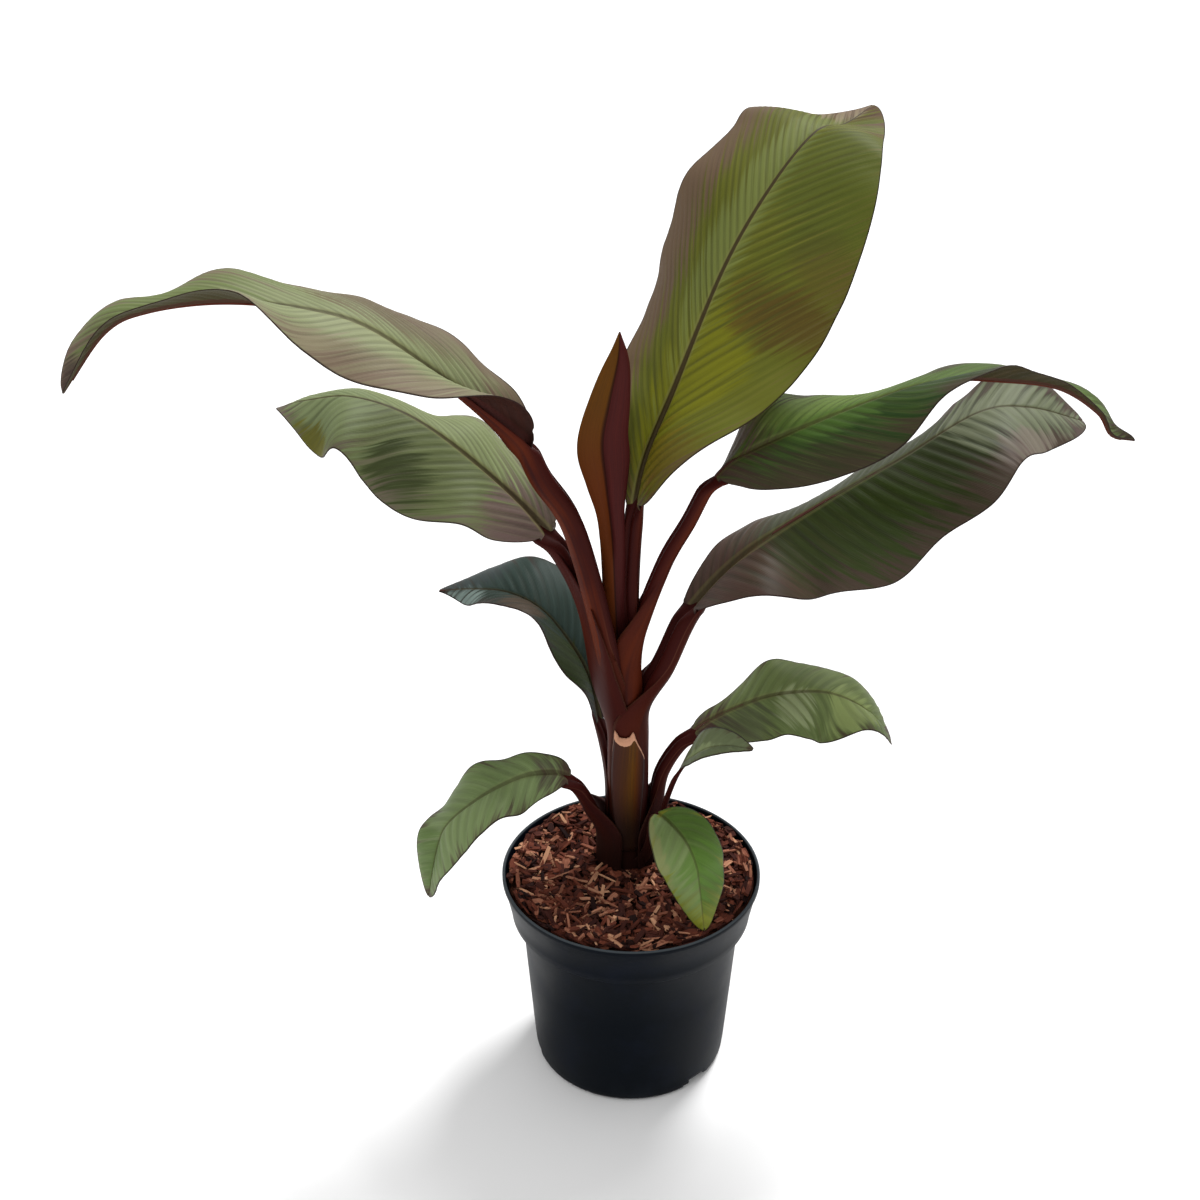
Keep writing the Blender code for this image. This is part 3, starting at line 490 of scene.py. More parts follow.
class Finish:
    """A Principled material built node by node. Inputs are numbers, colours or other nodes' outputs."""

    RAGGEDNESS = 1.6
    AREA_EDGE = (1.1, 0.2)

    def __init__(self, name, roughness, specular):
        self.material = bpy.data.materials.new(name)
        self.material.use_nodes = True
        self.tree = self.material.node_tree
        self.shader = self.tree.nodes["Principled BSDF"]
        self.colour = None
        self.shade("Roughness", roughness)
        self.shade("Specular IOR Level", specular)

    def plug(self, socket, value):
        if isinstance(value, bpy.types.NodeSocket):
            self.tree.links.new(value, socket)
        elif socket.type == "RGBA":
            socket.default_value = (*value[:3], 1)
        else:
            socket.default_value = value

    def shade(self, socket, value):
        self.plug(self.shader.inputs[socket], value)

    def node(self, kind, **settings):
        made = self.tree.nodes.new(kind)
        for name, value in settings.items():
            setattr(made, name, value)
        return made

    def math(self, operation, *values, clamp=False):
        made = self.node("ShaderNodeMath", operation=operation, use_clamp=clamp)
        for socket, value in zip(made.inputs, values):
            self.plug(socket, value)
        return made.outputs[0]

    def joined(self, operation, first, *others):
        total = first
        for other in others:
            total = self.math(operation, total, other)
        return total

    def add(self, *values):
        return self.joined("ADD", *values)

    def times(self, *values):
        return self.joined("MULTIPLY", *values)

    def highest(self, *values):
        return self.joined("MAXIMUM", *values)

    def size(self, value):
        return self.math("ABSOLUTE", value)

    def rise(self, value, low, high):
        """0 below low, 1 above high, smooth between; low may be above high for a fall."""
        made = self.node("ShaderNodeMapRange", interpolation_type="SMOOTHSTEP")
        falling = low > high
        self.plug(made.inputs["Value"], value)
        made.inputs["From Min"].default_value = min(low, high)
        made.inputs["From Max"].default_value = max(low, high)
        made.inputs["To Min"].default_value = 1.0 if falling else 0.0
        made.inputs["To Max"].default_value = 0.0 if falling else 1.0
        return made.outputs["Result"]

    def swing(self, value, size):
        """A 0 to 1 value turned into a swing of that size about 0."""
        return self.math("MULTIPLY_ADD", value, size, -size / 2)

    def mix(self, share, first, second):
        made = self.node("ShaderNodeMix", data_type="RGBA")
        self.plug(made.inputs[0], share)
        self.plug(made.inputs[6], first)
        self.plug(made.inputs[7], second)
        return made.outputs[2]

    def cover(self, share, strength, colour):
        """Lays a colour over the one so far, where share says and as much as strength says."""
        self.colour = self.mix(self.times(share, strength), self.colour, colour)

    def ramp(self, value, *stops):
        made = self.node("ShaderNodeValToRGB")
        self.plug(made.inputs["Fac"], value)
        elements = made.color_ramp.elements
        while len(elements) < len(stops):
            elements.new(1.0)
        for element, (place, colour) in zip(elements, stops):
            element.position = place
            element.color = (*colour, 1)
        return made.outputs["Color"]

    def uv(self, name):
        split = self.node("ShaderNodeSeparateXYZ")
        self.plug(split.inputs[0], self.node("ShaderNodeUVMap", uv_map=name).outputs["UV"])
        return split.outputs["X"], split.outputs["Y"]

    def place(self):
        return self.node("ShaderNodeTexCoord").outputs["Object"]

    def height(self, place):
        split = self.node("ShaderNodeSeparateXYZ")
        self.plug(split.inputs[0], place)
        return split.outputs["Z"]

    def noise(self, point, scale, detail=2.0, roughness=0.5):
        made = self.node("ShaderNodeTexNoise")
        self.plug(made.inputs["Vector"], point)
        made.inputs["Scale"].default_value = scale
        made.inputs["Detail"].default_value = detail
        made.inputs["Roughness"].default_value = roughness
        return made.outputs["Fac"]

    def grain(self, first, second, scales, shift=0.0, detail=3.0, roughness=0.5):
        """Noise over two values, finer along the one with the larger scale. shift picks another pattern."""
        point = self.node("ShaderNodeCombineXYZ")
        for socket, value, scale in zip(point.inputs, (first, second), scales):
            self.plug(socket, self.times(value, scale))
        self.plug(point.inputs[2], shift)
        return self.noise(point.outputs["Vector"], 1.0, detail, roughness)

    def patch(self, across, along, wander, area):
        """How strongly an area of the blade shows at (across, along), fading out at its ragged edge."""
        middle_across, middle_along, wide, long, strength = area[:5]
        side = self.math("MULTIPLY_ADD", across, 1 / wide, -middle_across / wide)
        length = self.math("MULTIPLY_ADD", along, 1 / long, -middle_along / long)
        ragged = self.times(wander, self.RAGGEDNESS)
        away = self.add(self.times(side, side), self.times(length, length), ragged)
        return self.times(self.rise(away, *self.AREA_EDGE), strength)

    def done(self, height, distance, strength):
        """Adds the colour, and bumps that are distance high, and returns the material."""
        self.shade("Base Color", self.colour)
        made = self.node("ShaderNodeBump")
        self.plug(made.inputs["Height"], height)
        made.inputs["Distance"].default_value = distance
        made.inputs["Strength"].default_value = strength
        self.shade("Normal", made.outputs["Normal"])
        return self.material


def fine_ridges(finish, vein):
    """Seven fine ridges between every two side veins."""
    return finish.math("SINE", finish.times(vein, 2 * math.pi * 7))


def leaf_top(name, look, colours, settings, number):
    """Upper face: green by the midrib, brown at margins and ends, painted sheen, striped with painted shade
    along the side veins.
    """
    finish = Finish(name, settings.leaf_roughness, 0.12)
    across, along = finish.uv("place")
    vein, outward = finish.uv("veins")
    rib, inset = finish.uv("ribs")
    edge = finish.size(across)
    off_rib = finish.size(rib)
    streak = finish.grain(vein, outward, (1.9, 0.133), number * 7.03, 4.0, 0.6)
    cloud = finish.noise(finish.place(), 16.0)
    wander = finish.add(finish.swing(streak, 2.4), finish.swing(cloud, 0.8))

    margin = finish.rise(finish.add(edge, wander), *look["margin"])
    base_end, tip_end = look["ends"]
    base = finish.rise(finish.add(along, finish.times(wander, 0.3)), base_end * 1.7, 0.0)
    tip = finish.rise(finish.add(along, finish.times(wander, 0.2)), 1 - tip_end * 2, 1.0)
    brown = finish.highest(finish.times(margin, 0.85), base, tip)
    # Painted sheen: each half is mixed towards pale green by its share in pale, with streaks, as if its waxy
    # face shone.
    left, right = look["pale"]
    sheen_by_half = finish.math("MULTIPLY_ADD", finish.rise(across, -0.02, 0.02), right - left, left)
    pale = finish.math("ADD", sheen_by_half, finish.swing(streak, 1.1), clamp=True)
    finish.colour = finish.mix(pale, colours.green, colours.pale_sheen_green)
    finish.cover(brown, 1.0, colours.brown)
    # Patches: the pale green ones are painted sheen where a wavy or twisted blade faces the light; the brown
    # ones are the leaf's own flush.
    for area in look["patches"]:
        finish.cover(finish.patch(across, along, wander, area), 1.0, paint(*area[5]))

    # Painted shade in the folds between the side veins: darker along each groove, fading towards the margin
    # and broken up by the streaks.
    pleat_shade_strength, rib_strength = look["ribs"]
    pleat_shade_wave = finish.rise(finish.math("COSINE", finish.times(vein, 2 * math.pi)), -0.9, 1.0)
    groove = finish.times(pleat_shade_wave, finish.rise(edge, 1.0, 0.5), finish.rise(streak, 0.3, 0.65))
    finish.cover(groove, pleat_shade_strength, paint(30, 28, 14))
    fine = finish.grain(vein, outward, (9.0, 0.5), 2.0, 1.0)
    finish.cover(finish.rise(fine, 0.5, 0.8), 0.16, colours.pale_sheen_green)
    # A paler band beside the midrib, strongest at the base: partly the blade's own colour, partly a painted
    # highlight on the edges of the midrib's groove.
    near_base = finish.math("MULTIPLY_ADD", along, -0.5, 0.6)
    beside_rib = finish.times(finish.rise(off_rib, 1.5, 1.0), near_base)
    finish.cover(beside_rib, rib_strength, paint(120, 116, 66))
    # A dark line along the midrib: partly the rib's own colour, partly painted shade in its groove.
    finish.cover(finish.rise(off_rib, 0.9, 0.5), 0.3 + 0.6 * rib_strength, paint(52, 38, 20))
    finish.cover(finish.rise(inset, 1.4, 0.6), 0.85, paint(34, 22, 18))
    relief = finish.add(finish.times(fine_ridges(finish, vein), 0.35), fine)
    return finish.done(relief, 0.00012, 0.8)


def leaf_underside(name, colours, number):
    """Lower face: the leaf's own dark or pale red-brown with raised veins."""
    finish = Finish(name, 0.55, 0.12)
    along = finish.uv("place")[1]
    vein, outward = finish.uv("veins")
    rib, inset = finish.uv("ribs")
    streak = finish.grain(vein, outward, (0.8, 0.056), number * 2.32, 3.0, 0.6)
    darker, lighter = [tuple(channel * share for channel in colours.under) for share in (0.7, 1.25)]
    finish.colour = finish.mix(finish.rise(streak, 0.25, 0.8), darker, lighter)
    finish.cover(finish.rise(along, 0.15, 0.6), 0.3, colours.green)
    finish.cover(finish.rise(finish.size(rib), 2.0, 1.2), 0.6, paint(70, 30, 26))
    finish.cover(finish.rise(inset, 0.9, 0.4), 0.8, paint(40, 24, 22))
    return finish.done(fine_ridges(finish, vein), 0.0001, 0.6)


def stalk_skin(name, glow, settings, number):
    """Waxy stalk and sheath: maroon with amber where light shines through, fine lines along the length."""
    finish = Finish(name, 0.55, 0.06)
    around, height = finish.uv("skin")
    lines = finish.grain(around, height, (9.0, 5.0), number * 5.1)
    cloud = finish.grain(around, height, (1.2, 14.0), number * 1.7, 2.0)
    strength, centre = glow
    front = finish.rise(finish.size(finish.math("SUBTRACT", around, centre)), 0.5, 0.05)
    lit = finish.times(front, finish.rise(finish.add(cloud, finish.swing(lines, 0.3)), 0.3, 0.6), strength)
    finish.colour = finish.mix(lit, settings.maroon, settings.amber)
    finish.cover(finish.rise(lines, 0.55, 0.25), 0.5, paint(34, 12, 14))
    off_edge = finish.size(finish.math("SUBTRACT", finish.size(around), 0.5))
    edge = finish.times(finish.rise(off_edge, 0.03, 0.0), finish.rise(height, 0.27, 0.2))
    finish.cover(edge, 0.25, paint(110, 72, 52))
    finish.cover(finish.rise(height, 0.09, 0.01), 0.85, paint(24, 12, 9))
    return finish.done(lines, 0.0002, 0.5)


def cut_sheath_skin(settings):
    """The cut sheath: olive and amber outside with dark red sides, pale on its cut face."""
    finish = Finish("cut_sheath_skin", 0.45, 0.1)
    across, up = finish.uv("wrap")
    lines = finish.grain(across, up, (22.0, 1.6), 3.0, 3.0, 0.6)
    drift = finish.add(across, finish.swing(lines, 0.14))
    finish.colour = finish.ramp(drift, (0.0, paint(54, 28, 26)), (0.2, paint(62, 32, 22)),
                                (0.42, paint(70, 38, 12)), (0.6, paint(88, 54, 10)), (0.74, paint(80, 40, 8)),
                                (0.86, paint(54, 20, 13)), (1.0, paint(28, 9, 8)))
    finish.cover(finish.rise(lines, 0.6, 0.3), 0.5, paint(52, 30, 18))
    finish.cover(finish.rise(up, 0.62, 0.15), 0.9, paint(24, 12, 9))
    cut = finish.times(finish.rise(up, 0.985, 1.0), finish.rise(up, 2.05, 2.0))
    finish.cover(cut, 1.0, settings.cut_face)
    return finish.done(lines, 0.0004, 0.6)


def spear_skin(settings):
    """The furled leaf: a thin margin on the left painted amber for light shining through it, a dark red roll
    on the right.
    """
    finish = Finish("furled_leaf_skin", 0.5, 0.06)
    across, up = finish.uv("wrap")
    lines = finish.grain(across, up, (16.0, 2.2), 1.0, 3.0, 0.6)
    # The thin margin, painted amber for light shining through it, streaked along its length.
    finish.colour = finish.mix(lines, paint(70, 44, 14), settings.spear_backlit_amber)
    finish.cover(finish.rise(up, 0.75, 0.2), 0.6, paint(96, 36, 18))
    red = finish.mix(lines, paint(46, 18, 20), settings.spear_red)
    finish.cover(finish.rise(across, -0.06, 0.04), 1.0, red)
    # Painted shade along the fold between the thin margin and the roll.
    fold = finish.times(finish.rise(across, -0.16, -0.04), finish.rise(across, 0.06, 0.0))
    finish.cover(fold, 0.8, paint(34, 10, 10))
    return finish.done(lines, 0.0003, 0.5)


def pot_plastic(settings):
    """Matt moulded plastic of mottled tone, paler at its foot, with a painted highlight along the rim."""
    finish = Finish("pot_plastic", 0.42, 0.05)
    place = finish.place()
    height = finish.height(place)
    mottle = finish.noise(place, 26.0, 4.0, 0.6)
    finish.colour = finish.mix(finish.rise(mottle, 0.45, 0.75), settings.pot_colour, paint(8, 14, 24))
    # Painted highlight: a paler band along the rim's top edge where the lip catches the light.
    finish.cover(finish.rise(height, POT_HEIGHT - 0.0016, POT_HEIGHT - 0.0002), 0.7, settings.pot_rim_highlight)
    # Paler grey in mottled patches over the lowest 3 cm of the pot.
    paler_foot = finish.times(finish.rise(height, 0.03, 0.0), finish.rise(mottle, 0.35, 0.7))
    finish.cover(paler_foot, 0.3, paint(34, 38, 42))
    finish.shade("Roughness", finish.math("MULTIPLY_ADD", mottle, 0.18, 0.34))
    return finish.done(finish.noise(place, 900.0), 0.00006, 0.6)


def bark_skin(settings):
    """Bark chips from damp dark brown to dry tan, one tone to a chip, with grain along each."""
    finish = Finish("bark_chips", 0.8, 0.12)
    tone = finish.node("ShaderNodeAttribute", attribute_name="tone").outputs["Fac"]
    grain = finish.grain(*finish.uv("grain"), (90.0, 900.0), 0.0, 3.0, 0.6)
    finish.colour = finish.ramp(finish.add(tone, finish.swing(grain, 0.4)), (0.0, settings.bark_dark),
                                (0.32, paint(62, 29, 22)), (0.58, settings.bark_red),
                                (0.78, paint(150, 98, 76)), (1.0, settings.bark_tan))
    return finish.done(grain, 0.0005, 0.9)


def peat():
    """Dark crumbly peat between the chips."""
    finish = Finish("soil", 0.95, 0.0)
    crumbs = finish.noise(finish.place(), 240.0, 5.0, 0.7)
    finish.colour = finish.mix(crumbs, paint(20, 12, 10), paint(78, 46, 34))
    return finish.done(crumbs, 0.0015, 1.0)


# ---------------------------------------------------------------- pieces

def finished(bm, name, slot, nodes, *materials):
    """Turns a bmesh into a shown piece that stands for its CAD nodes."""
    mesh = bpy.data.meshes.new(name)
    bm.to_mesh(mesh)
    bm.free()
    mesh.shade_smooth()
    for material in materials:
        mesh.materials.append(material)
    piece = bpy.data.objects.new(name, mesh)
    bpy.context.scene.collection.objects.link(piece)
    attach(piece, "root")
    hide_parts(*nodes)
    return piece


def grid(columns, rows):
    """A bmesh grid with each vertex's own (-1 to 1, 0 to 1) place, in the order of its vertices."""
    bm = bmesh.new()
    bmesh.ops.create_grid(bm, x_segments=columns, y_segments=rows, size=1)
    return bm, [(vert.co.x, (vert.co.y + 1) / 2) for vert in bm.verts]


def write_uv(bm, name, values):
    """Writes one pair per vertex into a UV map of that name."""
    layer = bm.loops.layers.uv.new(name)
    for face in bm.faces:
        for loop in face.loops:
            loop[layer].uv = values[loop.vert.index]


def close_tube(bm):
    """Joins the two long edges of a rolled-up grid and closes its ends."""
    bmesh.ops.remove_doubles(bm, verts=bm.verts, dist=MERGE_DISTANCE)
    ends = [edge for edge in bm.edges if edge.is_boundary]
    bmesh.ops.holes_fill(bm, edges=ends, sides=0)
    bmesh.ops.recalc_face_normals(bm, faces=bm.faces)


def turned(outline, steps):
    """A bmesh: a (radius, height) outline turned about the pot's axis."""
    bm = bmesh.new()
    points = [bm.verts.new((radius, 0, height)) for radius, height in outline]
    lines = [bm.edges.new(pair) for pair in zip(points, points[1:])]
    bmesh.ops.spin(bm, geom=points + lines, cent=(0, 0, 0), axis=(0, 0, 1), angle=2 * math.pi, steps=steps,
                   use_merge=True)
    bmesh.ops.remove_doubles(bm, verts=bm.verts, dist=MERGE_DISTANCE)
    bmesh.ops.recalc_face_normals(bm, faces=bm.faces)
    return bm


def polar(radius, angle, height):
    return Vector((radius * math.cos(angle), radius * math.sin(angle), height))


def smooth_step(low, high, value):
    share = min(max((value - low) / (high - low), 0.0), 1.0)
    return share * share * (3 - 2 * share)


def between(values, share):
    """Smooth value at a share (0 to 1) of a row of evenly spaced numbers or Vectors."""
    last = len(values) - 1
    place = min(max(share, 0.0), 1.0) * last
    index = min(int(place), last - 1)
    t = place - index
    start, end = values[index], values[index + 1]
    before = values[index - 1] if index else 2 * start - end
    after = values[index + 2] if index + 2 <= last else 2 * end - start
    return 0.5 * (2 * start + (end - before) * t + (2 * before - 5 * start + 4 * end - after) * t * t
                  + (3 * start - before - 3 * end + after) * t ** 3)


class Route:
    """The smooth line of a stalk and its midrib, measured along its length."""

    STEPS = 24
    REACH = 0.004

    def __init__(self, leaf):
        heading = math.radians(leaf["heading"])
        outwards = polar(1, heading, 0)
        self.aside = Vector((math.sin(heading), -math.cos(heading), 0))
        points = []
        for reach, *aside, height in leaf["route"]:
            sideways = self.aside * (aside[0] if aside else 0.0)
            points.append(STEM_FOOT + outwards * reach + sideways + Vector((0, 0, height)))
        spans = len(points) - 1
        self.points = [between(points, step / (spans * self.STEPS)) for step in range(spans * self.STEPS + 1)]
        self.lengths = [0.0]
        for start, end in zip(self.points, self.points[1:]):
            self.lengths.append(self.lengths[-1] + (end - start).length)
        self.length = self.lengths[-1]

    def at_point(self, index):
        """The length along the route of one of the leaf's own route points."""
        return self.lengths[index * self.STEPS]

    def at_height(self, height):
        """The length along the route where it first reaches a height above the soil."""
        for place, point in zip(self.lengths, self.points):
            if point.z - STEM_FOOT.z >= height:
                return place
        return self.length

    def centre(self, place):
        place = min(max(place, 0.0), self.length)
        index = 1
        while self.lengths[index] < place:
            index += 1
        start, end = self.lengths[index - 1], self.lengths[index]
        return self.points[index - 1].lerp(self.points[index], (place - start) / (end - start))

    def frame(self, place):
        """Centre, sideways and upper-face directions at a length along the route."""
        along = (self.centre(place + self.REACH) - self.centre(place - self.REACH)).normalized()
        sideways = (self.aside - along * along.dot(self.aside)).normalized()
        return self.centre(place), sideways, sideways.cross(along)


# ---------------------------------------------------------------- blades

def half_blade_width(leaf, side, share):
    """Width of the blade's left (-1) or right (+1) half at a share of its length."""
    widest, place, base, tip = leaf["left"] if side < 0 else leaf["right"]
    rise = math.sin(math.pi / 2 * min(share / place, 1.0)) ** base
    fall = max(math.cos(math.pi / 2 * max((share - place) / (1 - place), 0.0)), 0.0) ** tip
    edge = leaf["stalk"][1] * (1 - share) + TIP_HALF_WIDTH * share
    fullness = leaf.get("left_fullness" if side < 0 else "right_fullness")
    more = between(fullness, share) if fullness else 0.0
    return edge + (widest - edge) * rise * fall * (1 + more)


def rib_radius(leaf, share):
    """Half-width of the midrib's groove in the upper face."""
    return leaf["stalk"][1] * RIB_SHARE * (1 - share) ** 0.8 + RIB_TIP_RADIUS


class BladeRow:
    """One line of the blade across the midrib."""

    def __init__(self, leaf, route, start, along):
        self.along = along
        self.share = max(along / (route.length - start), 0.0)
        self.centre, self.sideways, self.upper = route.frame(start + along)
        self.rib = rib_radius(leaf, self.share)
        joined = smooth_step(-BLADE_LEAD, 0.0, along)
        self.centre -= self.upper * LEAD_SINK * leaf["stalk"][1] * (1 - joined)
        shown = LEAD_WIDTH + (1 - LEAD_WIDTH) * joined
        self.widths = {side: half_blade_width(leaf, side, self.share) * shown for side in (-1, 1)}
        self.slopes = {-1: math.radians(between(leaf["left_slopes"], self.share)) * joined,
                       1: math.radians(between(leaf["right_slopes"], self.share)) * joined}
        self.bow = BOW * smooth_step(0.0, 0.12, self.share) * smooth_step(1.0, 0.9, self.share) + LEAST_BOW
        self.ends = smooth_step(0.0, 0.08, self.share) * smooth_step(1.0, 0.93, self.share)


def relief(row, side, share_out, distance, phase, settings, number):
    """How far the surface stands off its smooth arch: folds between veins, waved margin, midrib groove."""
    strength = PLEAT_SHARE + PLEAT_VARIETY * noise.noise(Vector((phase * 0.37, distance * 22, number * 1.9)))
    off_rib = smooth_step(0.5 * row.rib, 3 * row.rib, distance)
    pleat = -settings.pleat_height * strength * math.cos(2 * math.pi * phase) * off_rib * row.ends
    pleat *= 1 - PLEAT_LOSS_AT_MARGIN * share_out ** 3
    wave = noise.noise(Vector((row.along / RIPPLE_LENGTH, side * 3.1, number * 4.7)))
    ripple = settings.ripple_height * RIPPLE_GAIN * wave * share_out ** 2.2 * row.ends
    ripple *= min(row.widths[side] / RIPPLE_WIDTH, 1.0)
    groove = -RIB_DEPTH * row.rib * math.exp(-(distance / (RIB_SPREAD * row.rib)) ** 2)
    return pleat + ripple + groove


def blade_spot(row, across, lean, settings, number):
    """Point, vein phase and distance from the midrib of one place on the blade."""
    side = -1 if across < 0 else 1
    share_out = abs(across)
    width, start = row.widths[side], row.slopes[side] + row.bow
    distance = share_out * width
    swept = start - 2 * row.bow * share_out
    out = width * (math.sin(start) - math.sin(swept)) / (2 * row.bow)
    lift = width * (math.cos(swept) - math.cos(start)) / (2 * row.bow)
    straying = noise.noise(Vector((row.along * 9, side * 5.0, number * 7.3))) * VEIN_STRAYING
    reached = row.along - lean[0 if side < 0 else 1] * distance - VEIN_CURVE * distance * distance + straying
    phase = reached / settings.vein_spacing
    off_arch = relief(row, side, share_out, distance, phase, settings, number)
    out -= math.sin(swept) * off_arch
    lift += math.cos(swept) * off_arch
    point = row.centre + row.sideways * side * out + row.upper * lift
    return point, phase, distance, width


def make_blade(name, leaf, settings, number):
    """A leaf's blade with three UV maps. place: across and along. veins: the phase, and how far out in vein
    spacings. ribs: how far out in half-widths of the midrib, and millimetres from the margin."""
    route = Route(leaf)
    look = LOOKS[name]
    start = route.at_point(leaf["blade_from"]) + BLADE_GAP - leaf.get("lower", 0.0)
    length = route.length - start
    lead = min(BLADE_LEAD, LONGEST_LEAD_SHARE * length)
    rows = round((lead + length) / ROW_STEP)
    widest = max(leaf["left"][0], leaf["right"][0])
    columns = 2 * round(FEWEST_COLUMNS + widest / COLUMN_STEP)
    bm, places = grid(columns, rows)
    lines = {}
    place_uv, vein_uv, rib_uv = [], [], []
    for vert, (x, share) in zip(bm.verts, places):
        key = round(share * rows)
        if key not in lines:
            lines[key] = BladeRow(leaf, route, start, share * (lead + length) - lead)
        across = math.copysign(abs(x) ** COLUMN_CROWDING, x)
        point, phase, distance, width = blade_spot(lines[key], across, look["lean"], settings, number)
        vert.co = point
        place_uv.append((across, lines[key].share))
        vein_uv.append((phase, distance / settings.vein_spacing))
        rib_uv.append((math.copysign(distance / lines[key].rib, across), (width - distance) * MILLIMETRES))
    write_uv(bm, "place", place_uv)
    write_uv(bm, "veins", vein_uv)
    write_uv(bm, "ribs", rib_uv)
    colours = settings.leaves[name]
    nodes = [f"{name}_inner_blade", f"{name}_outer_blade"] if leaf.get("split") else [f"{name}_blade"]
    top = leaf_top(f"{name}_upper_face", look, colours, settings, number)
    underside = leaf_underside(f"{name}_underside", colours, number)
    blade = finished(bm, f"{name}_blade_fine", "leaf", nodes, top, underside)
    solidify = blade.modifiers.new("thickness", "SOLIDIFY")
    solidify.thickness = settings.leaf_thickness
    solidify.offset = -1
    solidify.material_offset = 1
    solidify.material_offset_rim = 1
    return blade


# ---------------------------------------------------------------- stalks

class Stalk:
    """One leaf's stalk: its route, where its blade begins, its sheath and the leaf the sheath follows."""

    def __init__(self, name, leaf):
        self.leaf = leaf
        self.route = Route(leaf)
        self.blade_start = self.route.at_point(leaf["blade_from"]) - leaf.get("lower", 0.0)
        self.sheath = SHEATHS.get(name, {})
        followed = self.sheath.get("round")
        self.inner = Route(LEAVES[followed]) if followed else None
        self.sheath_end = self.route.at_height(self.sheath["edges"][1]) if self.sheath else None

    def wrapped_point(self, height, across, inside):
        """A point of the sheath where it wraps the stem, as a crescent about the stem's upright axis."""
        reach = between(self.sheath["left"] if across < 0 else self.sheath["right"], height / SHEATH_TOP)
        angle = math.radians(self.leaf["heading"] - across * reach)
        radius = self.sheath["radius"] * (1 - SHEATH_TAPER * height / SHEATH_TOP)
        if inside:
            radius -= SHEATH_EDGE + SHEATH_BODY * (1 - across * across)
        axis = STEM_FOOT + Vector((0, 0, height))
        if self.inner:
            followed = self.inner.centre(self.inner.at_height(height))
            axis = axis.lerp(followed, smooth_step(*INNER_LEAF_HEIGHTS, height))
        return axis + polar(radius, angle, 0)

    def own_point(self, place, turn):
        """A point of the folded stalk, which is a midrib under the blade further on."""
        centre, sideways, upper = self.route.frame(place)
        foot_width, blade_width = self.leaf["stalk"]
        half = foot_width + (blade_width - foot_width) * min(place / self.blade_start, 1.0)
        cosine, sine = math.cos(turn), math.sin(turn)
        share = max(place - self.blade_start, 0.0) / (self.route.length - self.blade_start)
        if place > self.blade_start:
            thinned = RIB_START_SHARE + (1 - RIB_START_SHARE) * math.exp(-share * RIB_THINNING)
            half = half * thinned * (1 - share) ** 1.3 + RIB_END
        x = half * cosine
        channel = 1 - CHANNEL_DEPTH * math.exp(-(cosine / CHANNEL_WIDTH) ** 2)
        y = STALK_INNER_DEPTH * half * sine * channel if sine > 0 else STALK_OUTER_DEPTH * half * sine
        under = smooth_step(self.blade_start - UNDER_FROM, self.blade_start + UNDER_BY, place)
        if under > 0:
            slopes = self.leaf["left_slopes"] if x < 0 else self.leaf["right_slopes"]
            slope = min(max(math.radians(between(slopes, share)), STEEPEST_FALL), STEEPEST_RISE)
            blade_height = abs(x) * math.tan(slope)
            top = blade_height - RIB_CLEARANCE - 0.5 * rib_radius(self.leaf, share)
            below = top + RIB_ROUNDNESS * half * min(sine, 0.0)
            y += (below - y) * under
        return centre + sideways * x + upper * y

    def spot(self, place, turn):
        """A point of the skin: on the sheath round the stem low down, on the stalk higher up."""
        point = self.own_point(place, turn)
        if self.sheath_end is None or place > self.sheath_end:
            return point
        height = self.route.centre(place).z - STEM_FOOT.z
        across = 1 - 2 * abs(turn) / math.pi
        low, high = [middle + (edge - middle) * across * across
                     for middle, edge in zip(self.sheath["middle"], self.sheath["edges"])]
        wrapped = self.wrapped_point(height, across, math.sin(turn) > 0.0001)
        return wrapped.lerp(point, smooth_step(low, high, height))


def make_stalk(name, leaf, settings, number):
    """A leaf's sheath, stalk and midrib in one closed skin. Its UV map goes from 0 at the underside's middle
    over 0.5 at the right edge, and up from the soil in metres."""
    stalk = Stalk(name, leaf)
    end = stalk.blade_start + (stalk.route.length - stalk.blade_start) * RIB_ENDS_AT
    bm, places = grid(STALK_COLUMNS, round(end / STALK_STEP))
    skin = []
    for vert, (x, share) in zip(bm.verts, places):
        vert.co = stalk.spot(share * end, math.pi * x)
        skin.append((((x + 1.5) % 2) - 1, vert.co.z - STEM_FOOT.z))
    write_uv(bm, "skin", skin)
    close_tube(bm)
    material = stalk_skin(f"{name}_stalk_skin", LOOKS[name]["glow"], settings, number)
    return finished(bm, f"{name}_stalk_fine", "stalk", [f"{name}_stalk", "pseudostem"], material)


# ---------------------------------------------------------------- stem, furled leaf and cut sheath

def make_core(settings):
    """The middle of the stem, seen only between the sheaths."""
    bm, places = grid(24, 30)
    skin = []
    for vert, (x, share) in zip(bm.verts, places):
        radius = CORE_RADII[0] + (CORE_RADII[1] - CORE_RADII[0]) * share
        height = CORE_HEIGHTS[0] + (CORE_HEIGHTS[1] - CORE_HEIGHTS[0]) * share
        vert.co = STEM_FOOT + polar(radius, math.pi * x, height)
        skin.append((x, vert.co.z - STEM_FOOT.z))
    write_uv(bm, "skin", skin)
    close_tube(bm)
    skin_material = stalk_skin("stem_core_skin", (0.0, 0.0), settings, 21)
    return finished(bm, "stem_core", "stem", ["pseudostem"], skin_material)


